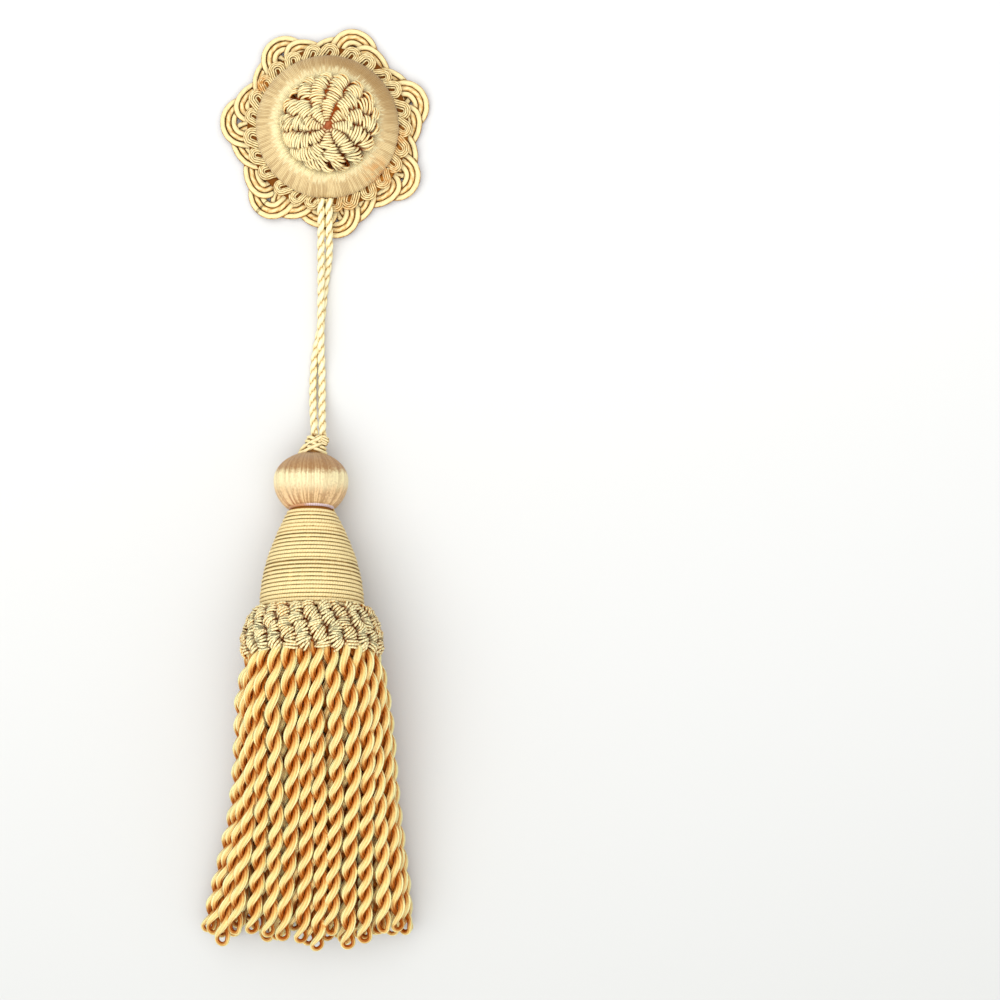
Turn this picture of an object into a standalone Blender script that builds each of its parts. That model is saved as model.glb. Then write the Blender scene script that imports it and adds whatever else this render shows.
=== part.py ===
"""A curtain tieback tassel, lying on its back on a table.

A flower rosette of plaited gimp carries a looped edging, a satin-wound ring and a knotted button.
Two plied cords run from under its ring to the tassel: a collar, a satin-wound ball, a neck disc,
a bell wound in gimp, a knotted ruff and a skirt of bullion strands.

Metres, +Z up. The origin is the centre of the rosette's flat back, +Y runs from the tassel to the
rosette, and the table is at z = 0.
"""

import math
import random

import bmesh
import bpy
from mathutils import Vector
from mathutils.kdtree import KDTree

GAP = 0.0003  # between pieces that touch on the real tassel

# Rosette braid: three flat leads of gimp plaited into a scalloped ring.
LOBE_ANGLES = (-129.7, -83.3, -32.2, 18.4, 71.6, 118.9, 172.6)  # degrees, uneven as sewn
BRAID_RADIUS = 0.0308  # of the plait's centre line
BRAID_SCALLOP = 0.0035  # how far the centre line swings out at a lobe
BRAID_SWING = 0.0080  # of a lead to either side of the centre line
LEAD_HALF_WIDTH = 0.0036
LEAD_THICK = 0.0023
BRAID_HOLE = 0.0183
BRAID_TOP = 2 * LEAD_THICK
BRAID_ROWS = 9  # of points over the plait's top, closer together towards its outer edge
BRAID_ROW_SPREAD = 1.25
LEAD_CROSSING = 0.45  # of the thickness, how far a lead rises or dips where it crosses another
LEAD_ROUNDING = 0.058  # of a lobe, by which a lead's arcs are drawn out and its crossings steepened
POINTS_PER_LOBE = 18
EDGE_INSET = 0.0008  # of a soft edge's foot, from the edge's widest line
SAMPLES_PER_LOBE = 60  # of a lead's centre line

# Looped edging, sewn on the braid round the ring.
LOOP_COUNT = 25
LOOPS_INNER = 0.0299
LOOPS_OUTER = 0.0362
LOOPS_THICK = 0.0020
LOOPS_NOTCH = 0.0011  # of the outline, between two loops
LOOPS_VALLEY = 0.6  # of the thickness, left between two loops
LOOPS_BASE = BRAID_TOP + GAP
POINTS_PER_LOOP = 5

# Satin-wound ring: radius and height of its section, from the inner foot over the crest.
RING_CENTRE = (0.0009, 0.0011)
RING_SECTION = (
    # radius, height
    (0.0167, 0.0092),
    (0.0187, 0.0115),
    (0.0222, 0.0126),
    (0.0255, 0.0119),
    (0.0284, 0.0104),
    (0.0302, 0.0084),
    (0.0296, 0.0066),
    (0.0280, 0.0049),
    (0.0167, 0.0049),
)

# Knotted button: a stem through the ring and a domed cap of knots that spiral from a bare spot.
BUTTON_CENTRE = (0.0028, 0.0018)
BUTTON_STEM = 0.0142
BUTTON_FOOT = 0.0130  # height of the cap's underside
BUTTON_RADIUS = 0.0203
BUTTON_EDGE = 0.0142  # height of the cap's widest line
BUTTON_DIMPLE = 0.0006  # of the bare spot's middle
BUTTON_TOP = 0.0236
BUTTON_SPOT = 0.0027  # radius of the bare spot
BUTTON_LEAN = (-0.0005, -0.0036)  # how far the spot sits from the cap's middle
BUTTON_ARMS = 10
BUTTON_KNOTS = 4  # in each arm
BUTTON_SPIRAL = math.radians(34)
BUTTON_RELIEF = 0.0024

# The tassel's axis runs from the ruff to the ball, which both rest on the table.
RUFF_CENTRE = Vector((-0.0036, -0.2108, 0.0277))
BALL_CENTRE = Vector((-0.0053, -0.1498, 0.0151))

# Heights along the axis, from the ruff's centre towards the ball.
HEAD_BOTTOM = 0.0087
HEAD_TOP = 0.0501
NECK_TOP = 0.0526
COLLAR_BOTTOM = 0.0738
COLLAR_TOP = 0.0813
RUFF_BOTTOM = -0.0114
RUFF_TOP = HEAD_BOTTOM - GAP

BALL_RADIUS = 0.0155
BALL_HALF_HEIGHT = 0.0119
NECK_RADIUS = 0.0097
NECK_ROUNDING = 0.0006
COLLAR_LOW_RADIUS = 0.0055
COLLAR_HIGH_RADIUS = 0.0040
COLLAR_TURNS = 4
COLLAR_SHIFT = 0.0016
COLLAR_LEAN = 0.0010

# Bell-shaped head, wound in gimp.
HEAD_TOP_RADIUS = 0.0098
HEAD_BOTTOM_RADIUS = 0.0218
HEAD_TURNS = 24
GIMP_RIDGE = 0.0005  # of each turn over the groove beside it

# Knotted ruff: columns of knots that lean to the right on their way down.
RUFF_SECTION = (
    # height share from the bottom, radius
    (0.00, 0.0288),
    (0.12, 0.0293),
    (0.35, 0.0291),
    (0.60, 0.0279),
    (0.80, 0.0262),
    (0.93, 0.0242),
    (1.00, 0.0222),
)
RUFF_COLUMNS = 26
RUFF_KNOTS = 4  # in each column
KNOT_POINTS = 3  # along and across each knot of the ruff, and along each of the button
KNOT_WAIST = 0.4  # of the relief, left between two knots of one column
RUFF_LEAN = math.radians(11)
RUFF_RELIEF = 0.0026

# Bullion skirt: two rings of strands that flatten from a round root to a mound on the table.
SKIRT_LENGTH = 0.1205
SKIRT_ROOT = -0.0125  # height along the axis
CORE_TOP = -0.0117
CORE_BOTTOM = -0.0168
CORE_RADIUS = 0.0272
STRAND_THICK = 0.0050
STRAND_OUTER_WIDTH = 0.0057  # of the side that faces out, or down on the table
STRAND_INNER_WIDTH = 0.0045
RING_STEP = 0.0064  # between the two rings of strands
STRAND_RINGS = (28, 20)
SKIRT_STATIONS = (
    # share of the length, half width, top, underside, crown, sideways shift
    (0.000, 0.0292, 0.0588, 0.0014, 0.0000, -0.0030),
    (0.145, 0.0326, 0.0560, 0.0000, 0.0000, -0.0033),
    (0.286, 0.0339, 0.0515, 0.0000, 0.0010, -0.0028),
    (0.420, 0.0350, 0.0465, 0.0000, 0.0020, -0.0030),
    (0.544, 0.0366, 0.0415, 0.0000, 0.0030, -0.0033),
    (0.700, 0.0400, 0.0355, 0.0000, 0.0040, -0.0045),
    (0.840, 0.0433, 0.0305, 0.0000, 0.0040, -0.0056),
    (1.000, 0.0464, 0.0265, 0.0000, 0.0040, -0.0075),
)
STRAND_TIP = 0.05  # share of the length that the looped end rounds off in
STRAND_TIP_SIZE = 0.55
SKIRT_UPRIGHT = 0.25  # share of the length in which the strands' sections come upright from the tilt
LENGTH_SPREAD = 0.035
STRAND_WAVER = 0.0001

# Hanging cords, each of two plies.
CORD_DIAMETER = 0.0030
CORD_PITCH = 0.0090  # of a ply's full turn
CORD_STEPS = 7  # in each turn
CORD_LEFT_ROUTE = (
    (-0.0017, -0.0299, 0.0089),
    (-0.0017, -0.0340, 0.0089),
    (-0.0018, -0.0380, 0.0081),
    (-0.0018, -0.0420, 0.0071),
    (-0.0019, -0.0460, 0.0067),
    (-0.0020, -0.0520, 0.0060),
    (-0.0020, -0.0590, 0.0055),
    (-0.0020, -0.0660, 0.0052),
    (-0.0021, -0.0740, 0.0051),
    (-0.0021, -0.0820, 0.0051),
    (-0.0021, -0.0880, 0.0050),
    (-0.0021, -0.0940, 0.0044),
    (-0.0020, -0.1000, 0.0031),
    (-0.0019, -0.1055, 0.0022),
    (-0.0018, -0.1115, 0.0028),
    (-0.0016, -0.1180, 0.0051),
    (-0.0012, -0.1245, 0.0081),
    (-0.0008, -0.1304, 0.0110),
)
CORD_RIGHT_ROUTE = (
    (0.0017, -0.0299, 0.0089),
    (0.0017, -0.0340, 0.0089),
    (0.0017, -0.0380, 0.0081),
    (0.0016, -0.0420, 0.0071),
    (0.0016, -0.0460, 0.0066),
    (0.0015, -0.0500, 0.0052),
    (0.0011, -0.0545, 0.0034),
    (0.0003, -0.0595, 0.0020),
    (-0.0006, -0.0650, 0.0016),
    (-0.0013, -0.0720, 0.0016),
    (-0.0021, -0.0800, 0.0016),
    (-0.0032, -0.0870, 0.0016),
    (-0.0044, -0.0930, 0.0016),
    (-0.0053, -0.0990, 0.0016),
    (-0.0057, -0.1050, 0.0017),
    (-0.0058, -0.1110, 0.0026),
    (-0.0055, -0.1175, 0.0049),
    (-0.0049, -0.1240, 0.0080),
    (-0.0042, -0.1304, 0.0110),
)

# Colours in linear light: pale silk, fuller gold for the bullion, tan for the ball, lilac disc.
SILK = (0.83, 0.67, 0.37)
SATIN = (0.80, 0.62, 0.36)
KNOTS = (0.78, 0.60, 0.35)
GOLD = (0.80, 0.52, 0.17)
LILAC = (0.62, 0.50, 0.58)


def clear_scene():
    for obj in list(bpy.data.objects):
        bpy.data.objects.remove(obj, do_unlink=True)


def collection_named(name, hidden=False):
    made = bpy.data.collections.new(name)
    made.hide_render = hidden
    bpy.context.scene.collection.children.link(made)
    return made


def thread(name, colour, roughness=0.55):
    material = bpy.data.materials.new(name)
    material.use_nodes = True
    shader = material.node_tree.nodes["Principled BSDF"]
    shader.inputs["Base Color"].default_value = (*colour, 1)
    shader.inputs["Roughness"].default_value = roughness
    shader.inputs["Metallic"].default_value = 0
    return material


def place(obj, name, colour, parent=None):
    """Names the piece, gives it its material and puts it in the tassel's collection."""
    obj.name = name
    obj.data.materials.clear()
    obj.data.materials.append(thread(name, colour))
    for held in list(obj.users_collection):
        held.objects.unlink(obj)
    bpy.data.collections["tieback_tassel"].objects.link(obj)
    obj.parent = parent
    return obj


def turned(profile, steps):
    """A closed turned shape from (radius, height) points that run down its outer side."""
    mesh = bpy.data.meshes.new("turned")
    edges = [(k, k + 1) for k in range(len(profile) - 1)]
    mesh.from_pydata([(radius, 0, height) for radius, height in profile], edges, [])
    obj = bpy.data.objects.new("turned", mesh)
    bpy.context.scene.collection.objects.link(obj)
    screw = obj.modifiers.new("Turn", "SCREW")
    screw.steps = screw.render_steps = steps
    screw.use_merge_vertices = True
    screw.merge_threshold = 0.00001
    screw.use_smooth_shade = True
    return obj


def applied(obj):
    """Makes the object's modifiers part of its mesh, so that its points can be raised."""
    bpy.context.view_layer.update()
    shape = obj.evaluated_get(bpy.context.evaluated_depsgraph_get())
    obj.data = bpy.data.meshes.new_from_object(shape)
    obj.modifiers.clear()
    return obj


def flatten_on_table(obj):
    """Lays the points that would sink under the table flat on it."""
    bpy.context.view_layer.update()
    to_world = obj.matrix_world.copy()
    to_local = to_world.inverted()
    for vertex in obj.data.vertices:
        at = to_world @ vertex.co
        if at.z < 0:
            at.z = 0
            vertex.co = to_local @ at


def ridge(phase, sharpness=0.7):
    """0 at every whole phase and 1 halfway between, with a narrow valley."""
    return abs(math.sin(math.pi * phase)) ** sharpness


def knot_relief(column, along):
    """How far a knot stands up, 0 to 1, in columns whose knots are staggered by a third."""
    stagger = int(column) % 3 / 3
    return ridge(column) * (KNOT_WAIST + (1 - KNOT_WAIST) * ridge(along + stagger))


def row_value(rows, share, column):
    """A column of a table of rows, read at a share that lies between two of its rows."""
    for low, high in zip(rows, rows[1:]):
        if share <= high[0]:
            part = (share - low[0]) / (high[0] - low[0])
            return low[column] + (high[column] - low[column]) * part
    return rows[-1][column]


def smooth_line(route, step):
    """Points a step apart on a smooth curve through the route's own points."""
    points = [Vector(p) for p in route]
    ends = [2 * points[0] - points[1], *points, 2 * points[-1] - points[-2]]
    fine = []
    for a, b, c, d in zip(ends, ends[1:], ends[2:], ends[3:]):
        for k in range(20):
            t = k / 20
            fine.append(
                0.5 * (2 * b + (c - a) * t + (2 * a - 5 * b + 4 * c - d) * t**2
                       + (3 * b - a - 3 * c + d) * t**3)
            )
    fine.append(points[-1])
    lengths = [0.0]
    for a, b in zip(fine, fine[1:]):
        lengths.append(lengths[-1] + (b - a).length)
    count = round(lengths[-1] / step)
    line, k = [], 0
    for i in range(count + 1):
        wanted = lengths[-1] * i / count
        while k < len(fine) - 2 and lengths[k + 1] < wanted:
            k += 1
        part = (wanted - lengths[k]) / (lengths[k + 1] - lengths[k])
        line.append(fine[k].lerp(fine[k + 1], part))
    return line


def angle_of_phase(phase):
    """The direction, in radians, that lies this many lobes from the first one."""
    stops = (*LOBE_ANGLES, LOBE_ANGLES[0] + 360)
    k = min(int(phase), len(LOBE_ANGLES) - 1)
    return math.radians(stops[k] + (stops[k + 1] - stops[k]) * (phase - k))


def lead_line(lead):
    """Points along the centre line of one of the plait's three leads, over and under the others."""
    line = []
    for k in range(len(LOBE_ANGLES) * SAMPLES_PER_LOBE):
        phase = k / SAMPLES_PER_LOBE
        turn = 2 * math.pi * (phase + lead / 3)
        radius = BRAID_RADIUS + BRAID_SCALLOP * math.cos(2 * math.pi * phase)
        radius += BRAID_SWING * math.cos(turn)
        angle = angle_of_phase((phase + LEAD_ROUNDING * math.sin(2 * turn)) % len(LOBE_ANGLES))
        height = LEAD_THICK * (1 + LEAD_CROSSING * math.sin(2 * turn))
        line.append((radius * math.cos(angle), radius * math.sin(angle), height))
    return line


class Plait:
    """The three leads, ready to tell how far a spot is from each and how high that lead lies."""

    def __init__(self):
        self.lines = [lead_line(lead) for lead in range(3)]
        self.trees = []
        for line in self.lines:
            tree = KDTree(len(line))
            for k, (x, y, _) in enumerate(line):
                tree.insert((x, y, 0), k)
            tree.balance()
            self.trees.append(tree)

    def nearest(self, x, y):
        """(distance, height) of each lead at a spot."""
        found = []
        for line, tree in zip(self.lines, self.trees):
            _, k, distance = tree.find((x, y, 0))
            found.append((distance, line[k][2]))
        return found

    def height(self, x, y):
        """The top of the plait at a spot, or None off it."""
        tops = [
            height + LEAD_THICK / 2 * math.sqrt(1 - (distance / LEAD_HALF_WIDTH) ** 2)
            for distance, height in self.nearest(x, y)
            if distance < LEAD_HALF_WIDTH
        ]
        return max(tops, default=None)

    def edge(self, angle):
        """The plait's outer radius in a direction."""
        radius = BRAID_RADIUS + BRAID_SCALLOP + BRAID_SWING + 2 * LEAD_HALF_WIDTH
        while self.height(radius * math.cos(angle), radius * math.sin(angle)) is None:
            radius -= 0.0001
        return radius


def braid_section(plait, angle):
    """The plait's section in a direction, as (radius, height) from its outer edge inwards."""
    outer = plait.edge(angle)
    section = [(outer, BRAID_TOP / 2)]
    for k in range(1, BRAID_ROWS):
        radius = outer + (BRAID_HOLE - outer) * (k / (BRAID_ROWS - 1)) ** BRAID_ROW_SPREAD
        height = plait.height(radius * math.cos(angle), radius * math.sin(angle))
        section.append((radius, height or LEAD_THICK / 2))
    section.append((BRAID_HOLE, 0.0))
    section.append((outer - EDGE_INSET, 0.0))
    return section


def shaped_ring(around, section_at, centre=(0, 0)):
    """A torus whose points are moved to the section that section_at(turn share) gives."""
    slots = len(section_at(0.0)[1])
    bpy.ops.mesh.primitive_torus_add(
        major_segments=around, minor_segments=slots, major_radius=1, minor_radius=0.25
    )
    obj = bpy.context.object
    for vertex in obj.data.vertices:
        x, y, z = vertex.co
        turn = math.atan2(y, x) / (2 * math.pi) % 1
        slot = round(math.atan2(z, math.hypot(x, y) - 1) / (2 * math.pi) * slots) % slots
        share = round(turn * around) % around / around
        angle, section = section_at(share)
        radius, height = section[slot]
        vertex.co = (
            centre[0] + radius * math.cos(angle),
            centre[1] + radius * math.sin(angle),
            height,
        )
    return obj


def rosette_braid():
    plait = Plait()

    def section_at(share):
        angle = angle_of_phase(share * len(LOBE_ANGLES))
        return angle, braid_section(plait, angle)

    obj = shaped_ring(len(LOBE_ANGLES) * POINTS_PER_LOBE, section_at)
    return place(obj, "rosette_braid", SILK)


def rosette_loops():
    def section_at(share):
        bulge = ridge(share * LOOP_COUNT)
        outer = LOOPS_OUTER - LOOPS_NOTCH * (1 - bulge)
        thick = LOOPS_THICK * (LOOPS_VALLEY + (1 - LOOPS_VALLEY) * bulge)
        return 2 * math.pi * share, [
            (outer, LOOPS_BASE + 0.4 * thick),
            ((outer * 2 + LOOPS_INNER) / 3, LOOPS_BASE + thick),
            (LOOPS_INNER, LOOPS_BASE + 0.8 * thick),
            (LOOPS_INNER, LOOPS_BASE),
            (outer - EDGE_INSET, LOOPS_BASE),
        ]

    obj = shaped_ring(LOOP_COUNT * POINTS_PER_LOOP, section_at, RING_CENTRE)
    return place(obj, "rosette_loops", SILK)


def rosette_ring():
    obj = applied(turned((*RING_SECTION, RING_SECTION[0]), 40))
    obj.location = (*RING_CENTRE, 0)
    return place(obj, "rosette_ring", SATIN)


def button_profile(rows):
    """Radius and height of the cap's rows, from the spot to the widest line."""
    rise = BUTTON_TOP - BUTTON_EDGE
    found = []
    for k in range(rows):
        angle = math.radians(90) * k / (rows - 1)
        radius = BUTTON_SPOT + (BUTTON_RADIUS - BUTTON_SPOT) * math.sin(angle)
        found.append((radius, BUTTON_EDGE + rise * math.cos(angle)))
    return found


def rosette_button():
    rows = KNOT_POINTS * BUTTON_KNOTS + 1
    cap = button_profile(rows)
    foot = [
        (BUTTON_RADIUS - EDGE_INSET, BUTTON_FOOT),
        (BUTTON_STEM, BUTTON_FOOT),
        (BUTTON_STEM, 0.0),
        (0.0, 0.0),
    ]
    obj = applied(turned([(0.0, BUTTON_TOP - BUTTON_DIMPLE), *cap, *foot], BUTTON_ARMS * 4))
    for vertex in obj.data.vertices:
        x, y, z = vertex.co
        radius, angle = math.hypot(x, y), math.atan2(y, x)
        row = next((k for k, (r, h) in enumerate(cap) if abs(r - radius) + abs(h - z) < 1e-5), None)
        if row is None:
            continue
        share = row / (rows - 1)
        arm = angle / (2 * math.pi) * BUTTON_ARMS % BUTTON_ARMS
        raised = BUTTON_RELIEF * (knot_relief(arm, share * BUTTON_KNOTS) - 0.6) if row else 0.0
        turned_by = angle - BUTTON_SPIRAL * share
        lean = math.cos(math.radians(90) * share)
        reach = radius + raised * math.sin(math.radians(90) * share)
        vertex.co = (
            reach * math.cos(turned_by) + BUTTON_LEAN[0] * lean,
            reach * math.sin(turned_by) + BUTTON_LEAN[1] * lean,
            z + raised * lean,
        )
    obj.location = (*BUTTON_CENTRE, 0)
    return place(obj, "rosette_button", KNOTS)


def tassel_axis():
    """An empty at the ruff's centre whose +Z runs to the ball."""
    empty = bpy.data.objects.new("tassel_axis", None)
    bpy.data.collections["tieback_tassel"].objects.link(empty)
    empty.location = RUFF_CENTRE
    upright = Vector((0, 0, 1))
    empty.rotation_euler = upright.rotation_difference(BALL_CENTRE - RUFF_CENTRE).to_euler()
    bpy.context.view_layer.update()
    return empty


def ball_height():
    return (BALL_CENTRE - RUFF_CENTRE).length


def tassel_ball(axis):
    """An oblate ball with a flat seat for the collar and one for the neck."""
    low = NECK_TOP + GAP - ball_height()
    high = COLLAR_BOTTOM - GAP - ball_height()
    start = math.asin(high / BALL_HALF_HEIGHT)
    end = math.asin(low / BALL_HALF_HEIGHT)
    steps = 11
    profile = [(0.0, high + ball_height())]
    for k in range(steps + 1):
        angle = start + (end - start) * k / steps
        height = ball_height() + BALL_HALF_HEIGHT * math.sin(angle)
        profile.append((BALL_RADIUS * math.cos(angle), height))
    profile.append((0.0, low + ball_height()))
    obj = place(applied(turned(profile, 26)), "tassel_ball", SATIN, axis)
    flatten_on_table(obj)
    return obj


def neck_disc(axis):
    bottom = HEAD_TOP + GAP
    profile = [
        (0.0, NECK_TOP),
        (NECK_RADIUS - NECK_ROUNDING, NECK_TOP),
        (NECK_RADIUS, (NECK_TOP + bottom) / 2),
        (NECK_RADIUS - NECK_ROUNDING, bottom),
        (0.0, bottom),
    ]
    return place(turned(profile, 24), "neck_disc", LILAC, axis)


def cord_collar(axis):
    """A whipping of thread round the cords where they enter the ball, leaning to the right."""
    rows = 2 * COLLAR_TURNS + 1
    profile = [(0.0, COLLAR_TOP)]
    for k in range(rows):
        share = k / (rows - 1)
        radius = COLLAR_HIGH_RADIUS + (COLLAR_LOW_RADIUS - COLLAR_HIGH_RADIUS) * share
        groove = 0.0 if k % 2 else GIMP_RIDGE
        profile.append((radius - groove, COLLAR_TOP + (COLLAR_BOTTOM - COLLAR_TOP) * share))
    profile.append((0.0, COLLAR_BOTTOM))
    obj = applied(turned(profile, 18))
    for vertex in obj.data.vertices:
        share = (vertex.co.z - COLLAR_BOTTOM) / (COLLAR_TOP - COLLAR_BOTTOM)
        vertex.co.x += COLLAR_SHIFT + COLLAR_LEAN * share
    return place(obj, "cord_collar", SILK, axis)


def tassel_head(axis):
    """A bell whose winding of gimp stands up as ridges."""
    rows = 2 * HEAD_TURNS + 1
    profile = [(0.0, HEAD_TOP)]
    for k in range(rows):
        share = k / (rows - 1)
        bell = math.sin(math.pi / 2 * share**0.93)
        radius = HEAD_TOP_RADIUS + (HEAD_BOTTOM_RADIUS - HEAD_TOP_RADIUS) * bell
        groove = 0.0 if k % 2 else GIMP_RIDGE
        profile.append((radius - groove, HEAD_TOP + (HEAD_BOTTOM - HEAD_TOP) * share))
    profile.append((0.0, HEAD_BOTTOM))
    return place(turned(profile, 26), "tassel_head", SILK, axis)


def knotted_ruff(axis):
    """Columns of knots: each is parted by narrow valleys from its neighbours, above and beside."""
    rows = KNOT_POINTS * RUFF_KNOTS + 1
    height = RUFF_TOP - RUFF_BOTTOM
    profile = [(0.0, RUFF_TOP)]
    for k in range(rows):
        share = 1 - k / (rows - 1)
        profile.append((row_value(RUFF_SECTION, share, 1), RUFF_BOTTOM + height * share))
    profile.append((0.0, RUFF_BOTTOM))
    obj = applied(turned(profile, RUFF_COLUMNS * KNOT_POINTS))
    for vertex in obj.data.vertices:
        x, y, z = vertex.co
        radius, angle = math.hypot(x, y), math.atan2(y, x)
        if radius < 0.001:
            continue
        share = (z - RUFF_BOTTOM) / height
        column = angle / (2 * math.pi) * RUFF_COLUMNS % RUFF_COLUMNS
        radius += RUFF_RELIEF * (knot_relief(column, share * RUFF_KNOTS) - 0.7)
        angle -= RUFF_LEAN * (share - 0.5)
        vertex.co = (radius * math.cos(angle), radius * math.sin(angle), z)
    place(obj, "knotted_ruff", KNOTS, axis)
    flatten_on_table(obj)
    return obj


def flattened_ring(share, half_width, half_height):
    """A point and its outward normal at a share of the way round a ring with straight, level
    upper and lower runs and round ends, from its right end over the top."""
    run = 2 * (half_width - half_height)
    bend = math.pi * half_height
    along = share * 2 * (run + bend)
    quarter = bend / 2
    if along <= quarter or along >= 2 * (run + bend) - quarter:
        angle = (along if along <= quarter else along - 2 * (run + bend)) / half_height
        normal = Vector((math.cos(angle), 0, math.sin(angle)))
        return Vector((run / 2, 0, 0)) + normal * half_height, normal
    along -= quarter
    if along <= run:
        return Vector((run / 2 - along, 0, half_height)), Vector((0, 0, 1))
    along -= run
    if along <= bend:
        angle = math.pi / 2 + along / half_height
        normal = Vector((math.cos(angle), 0, math.sin(angle)))
        return Vector((-run / 2, 0, 0)) + normal * half_height, normal
    along -= bend
    return Vector((-run / 2 + along, 0, -half_height)), Vector((0, 0, -1))


def strand_sections(ring, turn, length, waver):
    """The four-cornered sections of one strand, from its root to its rounded end."""
    axis = (BALL_CENTRE - RUFF_CENTRE).normalized()
    root = RUFF_CENTRE + axis * SKIRT_ROOT
    tilt = -axis.z / axis.y
    shares = [row[0] for row in SKIRT_STATIONS[:-1]] + [length - STRAND_TIP, length]
    sections = []
    for share in shares:
        half_width, top, under, crown, shift = (
            row_value(SKIRT_STATIONS, share, column) for column in range(1, 6)
        )
        inset = STRAND_THICK / 2 + ring * RING_STEP
        half_height = (top - under - crown) / 2 - inset
        spot, normal = flattened_ring(turn, half_width - inset, half_height)
        across = normal.cross(Vector((0, 1, 0)))
        arch = 1 - (spot.x / half_width) ** 2
        lift = crown * arch * max(0.0, spot.z) / half_height
        fade = max(0.0, 1 - share / SKIRT_UPRIGHT)
        centre = Vector((
            shift + spot.x,
            root.y - share * SKIRT_LENGTH + spot.z * tilt * fade,
            (top - crown + under) / 2 + spot.z + lift,
        ))
        centre += across * waver * math.sin(2 * math.pi * share)
        size = STRAND_TIP_SIZE if share == length else 1.0
        section = []
        for wide, side in (
            (STRAND_OUTER_WIDTH, 1),
            (-STRAND_OUTER_WIDTH, 1),
            (-STRAND_INNER_WIDTH, -1),
            (STRAND_INNER_WIDTH, -1),
        ):
            offset = (across * wide / 2 + normal * side * STRAND_THICK / 2) * size
            section.append(centre + offset + Vector((0, offset.z * tilt * fade, 0)))
        sunk = min(0.0, min(corner.z for corner in section))
        sections.append([corner - Vector((0, 0, sunk)) for corner in section])
    return sections


def strand(mesh, sections):
    """Extrudes a strand's root section through the others and closes both ends."""
    rim = [mesh.verts.new(corner) for corner in sections[0]]
    mesh.faces.new(rim)
    for section in sections[1:]:
        following = [mesh.verts.new(corner) for corner in section]
        for k in range(4):
            near, far = k, (k + 1) % 4
            mesh.faces.new((rim[far], rim[near], following[near], following[far]))
        rim = following
    mesh.faces.new(reversed(rim))


def bullion_skirt(axis, helpers):
    """Strands that stand apart, with their roots fused into a round core under the ruff."""
    chance = random.Random(11)
    mesh = bmesh.new()
    for ring, count in enumerate(STRAND_RINGS):
        for k in range(count):
            length = 1 + chance.uniform(-LENGTH_SPREAD, LENGTH_SPREAD)
            waver = chance.uniform(-STRAND_WAVER, STRAND_WAVER)
            strand(mesh, strand_sections(ring, (k + 0.25 + 0.5 * ring) / count, length, waver))
    bmesh.ops.recalc_face_normals(mesh, faces=mesh.faces)
    strands = bpy.data.meshes.new("strands")
    mesh.to_mesh(strands)
    mesh.free()
    joined = bpy.data.objects.new("strands", strands)
    joined.hide_render = True
    joined.display_type = "WIRE"
    helpers.objects.link(joined)

    profile = [(0.0, CORE_TOP), (CORE_RADIUS, CORE_TOP), (CORE_RADIUS, CORE_BOTTOM), (0.0, CORE_BOTTOM)]
    core = applied(turned(profile, 32))
    core = place(core, "bullion_skirt", GOLD, axis)
    union = core.modifiers.new("Strands", "BOOLEAN")
    union.operation = "UNION"
    union.solver = "EXACT"
    union.object = joined
    return core


def two_ply_outline(helpers):
    """The cord's section: two plies side by side, as an outline that a curve carries along."""
    data = bpy.data.curves.new("two_ply_outline", "CURVE")
    data.dimensions = "2D"
    spline = data.splines.new("POLY")
    half = CORD_DIAMETER / 2
    outline = (
        (half, 0),
        (half * 0.50, -half * 0.62),
        (-half * 0.50, -half * 0.62),
        (-half, 0),
        (-half * 0.50, half * 0.62),
        (half * 0.50, half * 0.62),
    )
    spline.points.add(len(outline) - 1)
    for point, (x, y) in zip(spline.points, outline):
        point.co = (x, y, 0, 1)
    spline.use_cyclic_u = True
    obj = bpy.data.objects.new("two_ply_outline", data)
    obj.hide_render = True
    helpers.objects.link(obj)
    return obj


def hanging_cord(name, route, outline):
    line = smooth_line(route, CORD_PITCH / CORD_STEPS)
    data = bpy.data.curves.new(name, "CURVE")
    data.dimensions = "3D"
    spline = data.splines.new("POLY")
    spline.points.add(len(line) - 1)
    for k, (point, at) in enumerate(zip(spline.points, line)):
        point.co = (*at, 1)
        point.tilt = 2 * math.pi * k / CORD_STEPS
    data.bevel_mode = "OBJECT"
    data.bevel_object = outline
    data.use_fill_caps = True
    return place(bpy.data.objects.new(name, data), name, SILK)


def build():
    clear_scene()
    collection_named("tieback_tassel")
    helpers = collection_named("helpers", hidden=True)
    rosette_braid()
    rosette_loops()
    rosette_ring()
    rosette_button()
    axis = tassel_axis()
    tassel_ball(axis)
    neck_disc(axis)
    cord_collar(axis)
    tassel_head(axis)
    knotted_ruff(axis)
    bullion_skirt(axis, helpers)
    outline = two_ply_outline(helpers)
    hanging_cord("hanging_cord_left", CORD_LEFT_ROUTE, outline)
    hanging_cord("hanging_cord_right", CORD_RIGHT_ROUTE, outline)


build()
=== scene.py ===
# %% [markdown]
# # A curtain tieback tassel, thread by thread
#
# A tieback tassel is made by a trimmings maker from cords, gimp and thread. This file dresses a
# plain solid model of one: a flower rosette with a knotted button, two plied cords, and a tassel
# whose bell, ruff and skirt are all wound, knotted and twisted by hand. Nearly every surface is
# thread, so nearly every piece here is a line that a section is carried along.

# %% Load the frame and note its size
import math
import random

import bmesh
import bpy
from mathutils import Matrix, Vector
from mathutils.bvhtree import BVHTree
from mathutils.kdtree import KDTree


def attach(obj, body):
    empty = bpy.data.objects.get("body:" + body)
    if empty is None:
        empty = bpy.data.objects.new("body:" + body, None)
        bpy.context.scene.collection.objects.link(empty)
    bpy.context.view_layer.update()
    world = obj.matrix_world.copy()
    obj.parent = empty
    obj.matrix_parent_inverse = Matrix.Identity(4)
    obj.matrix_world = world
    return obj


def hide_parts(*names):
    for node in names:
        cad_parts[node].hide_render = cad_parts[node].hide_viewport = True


MM = 0.001

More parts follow.
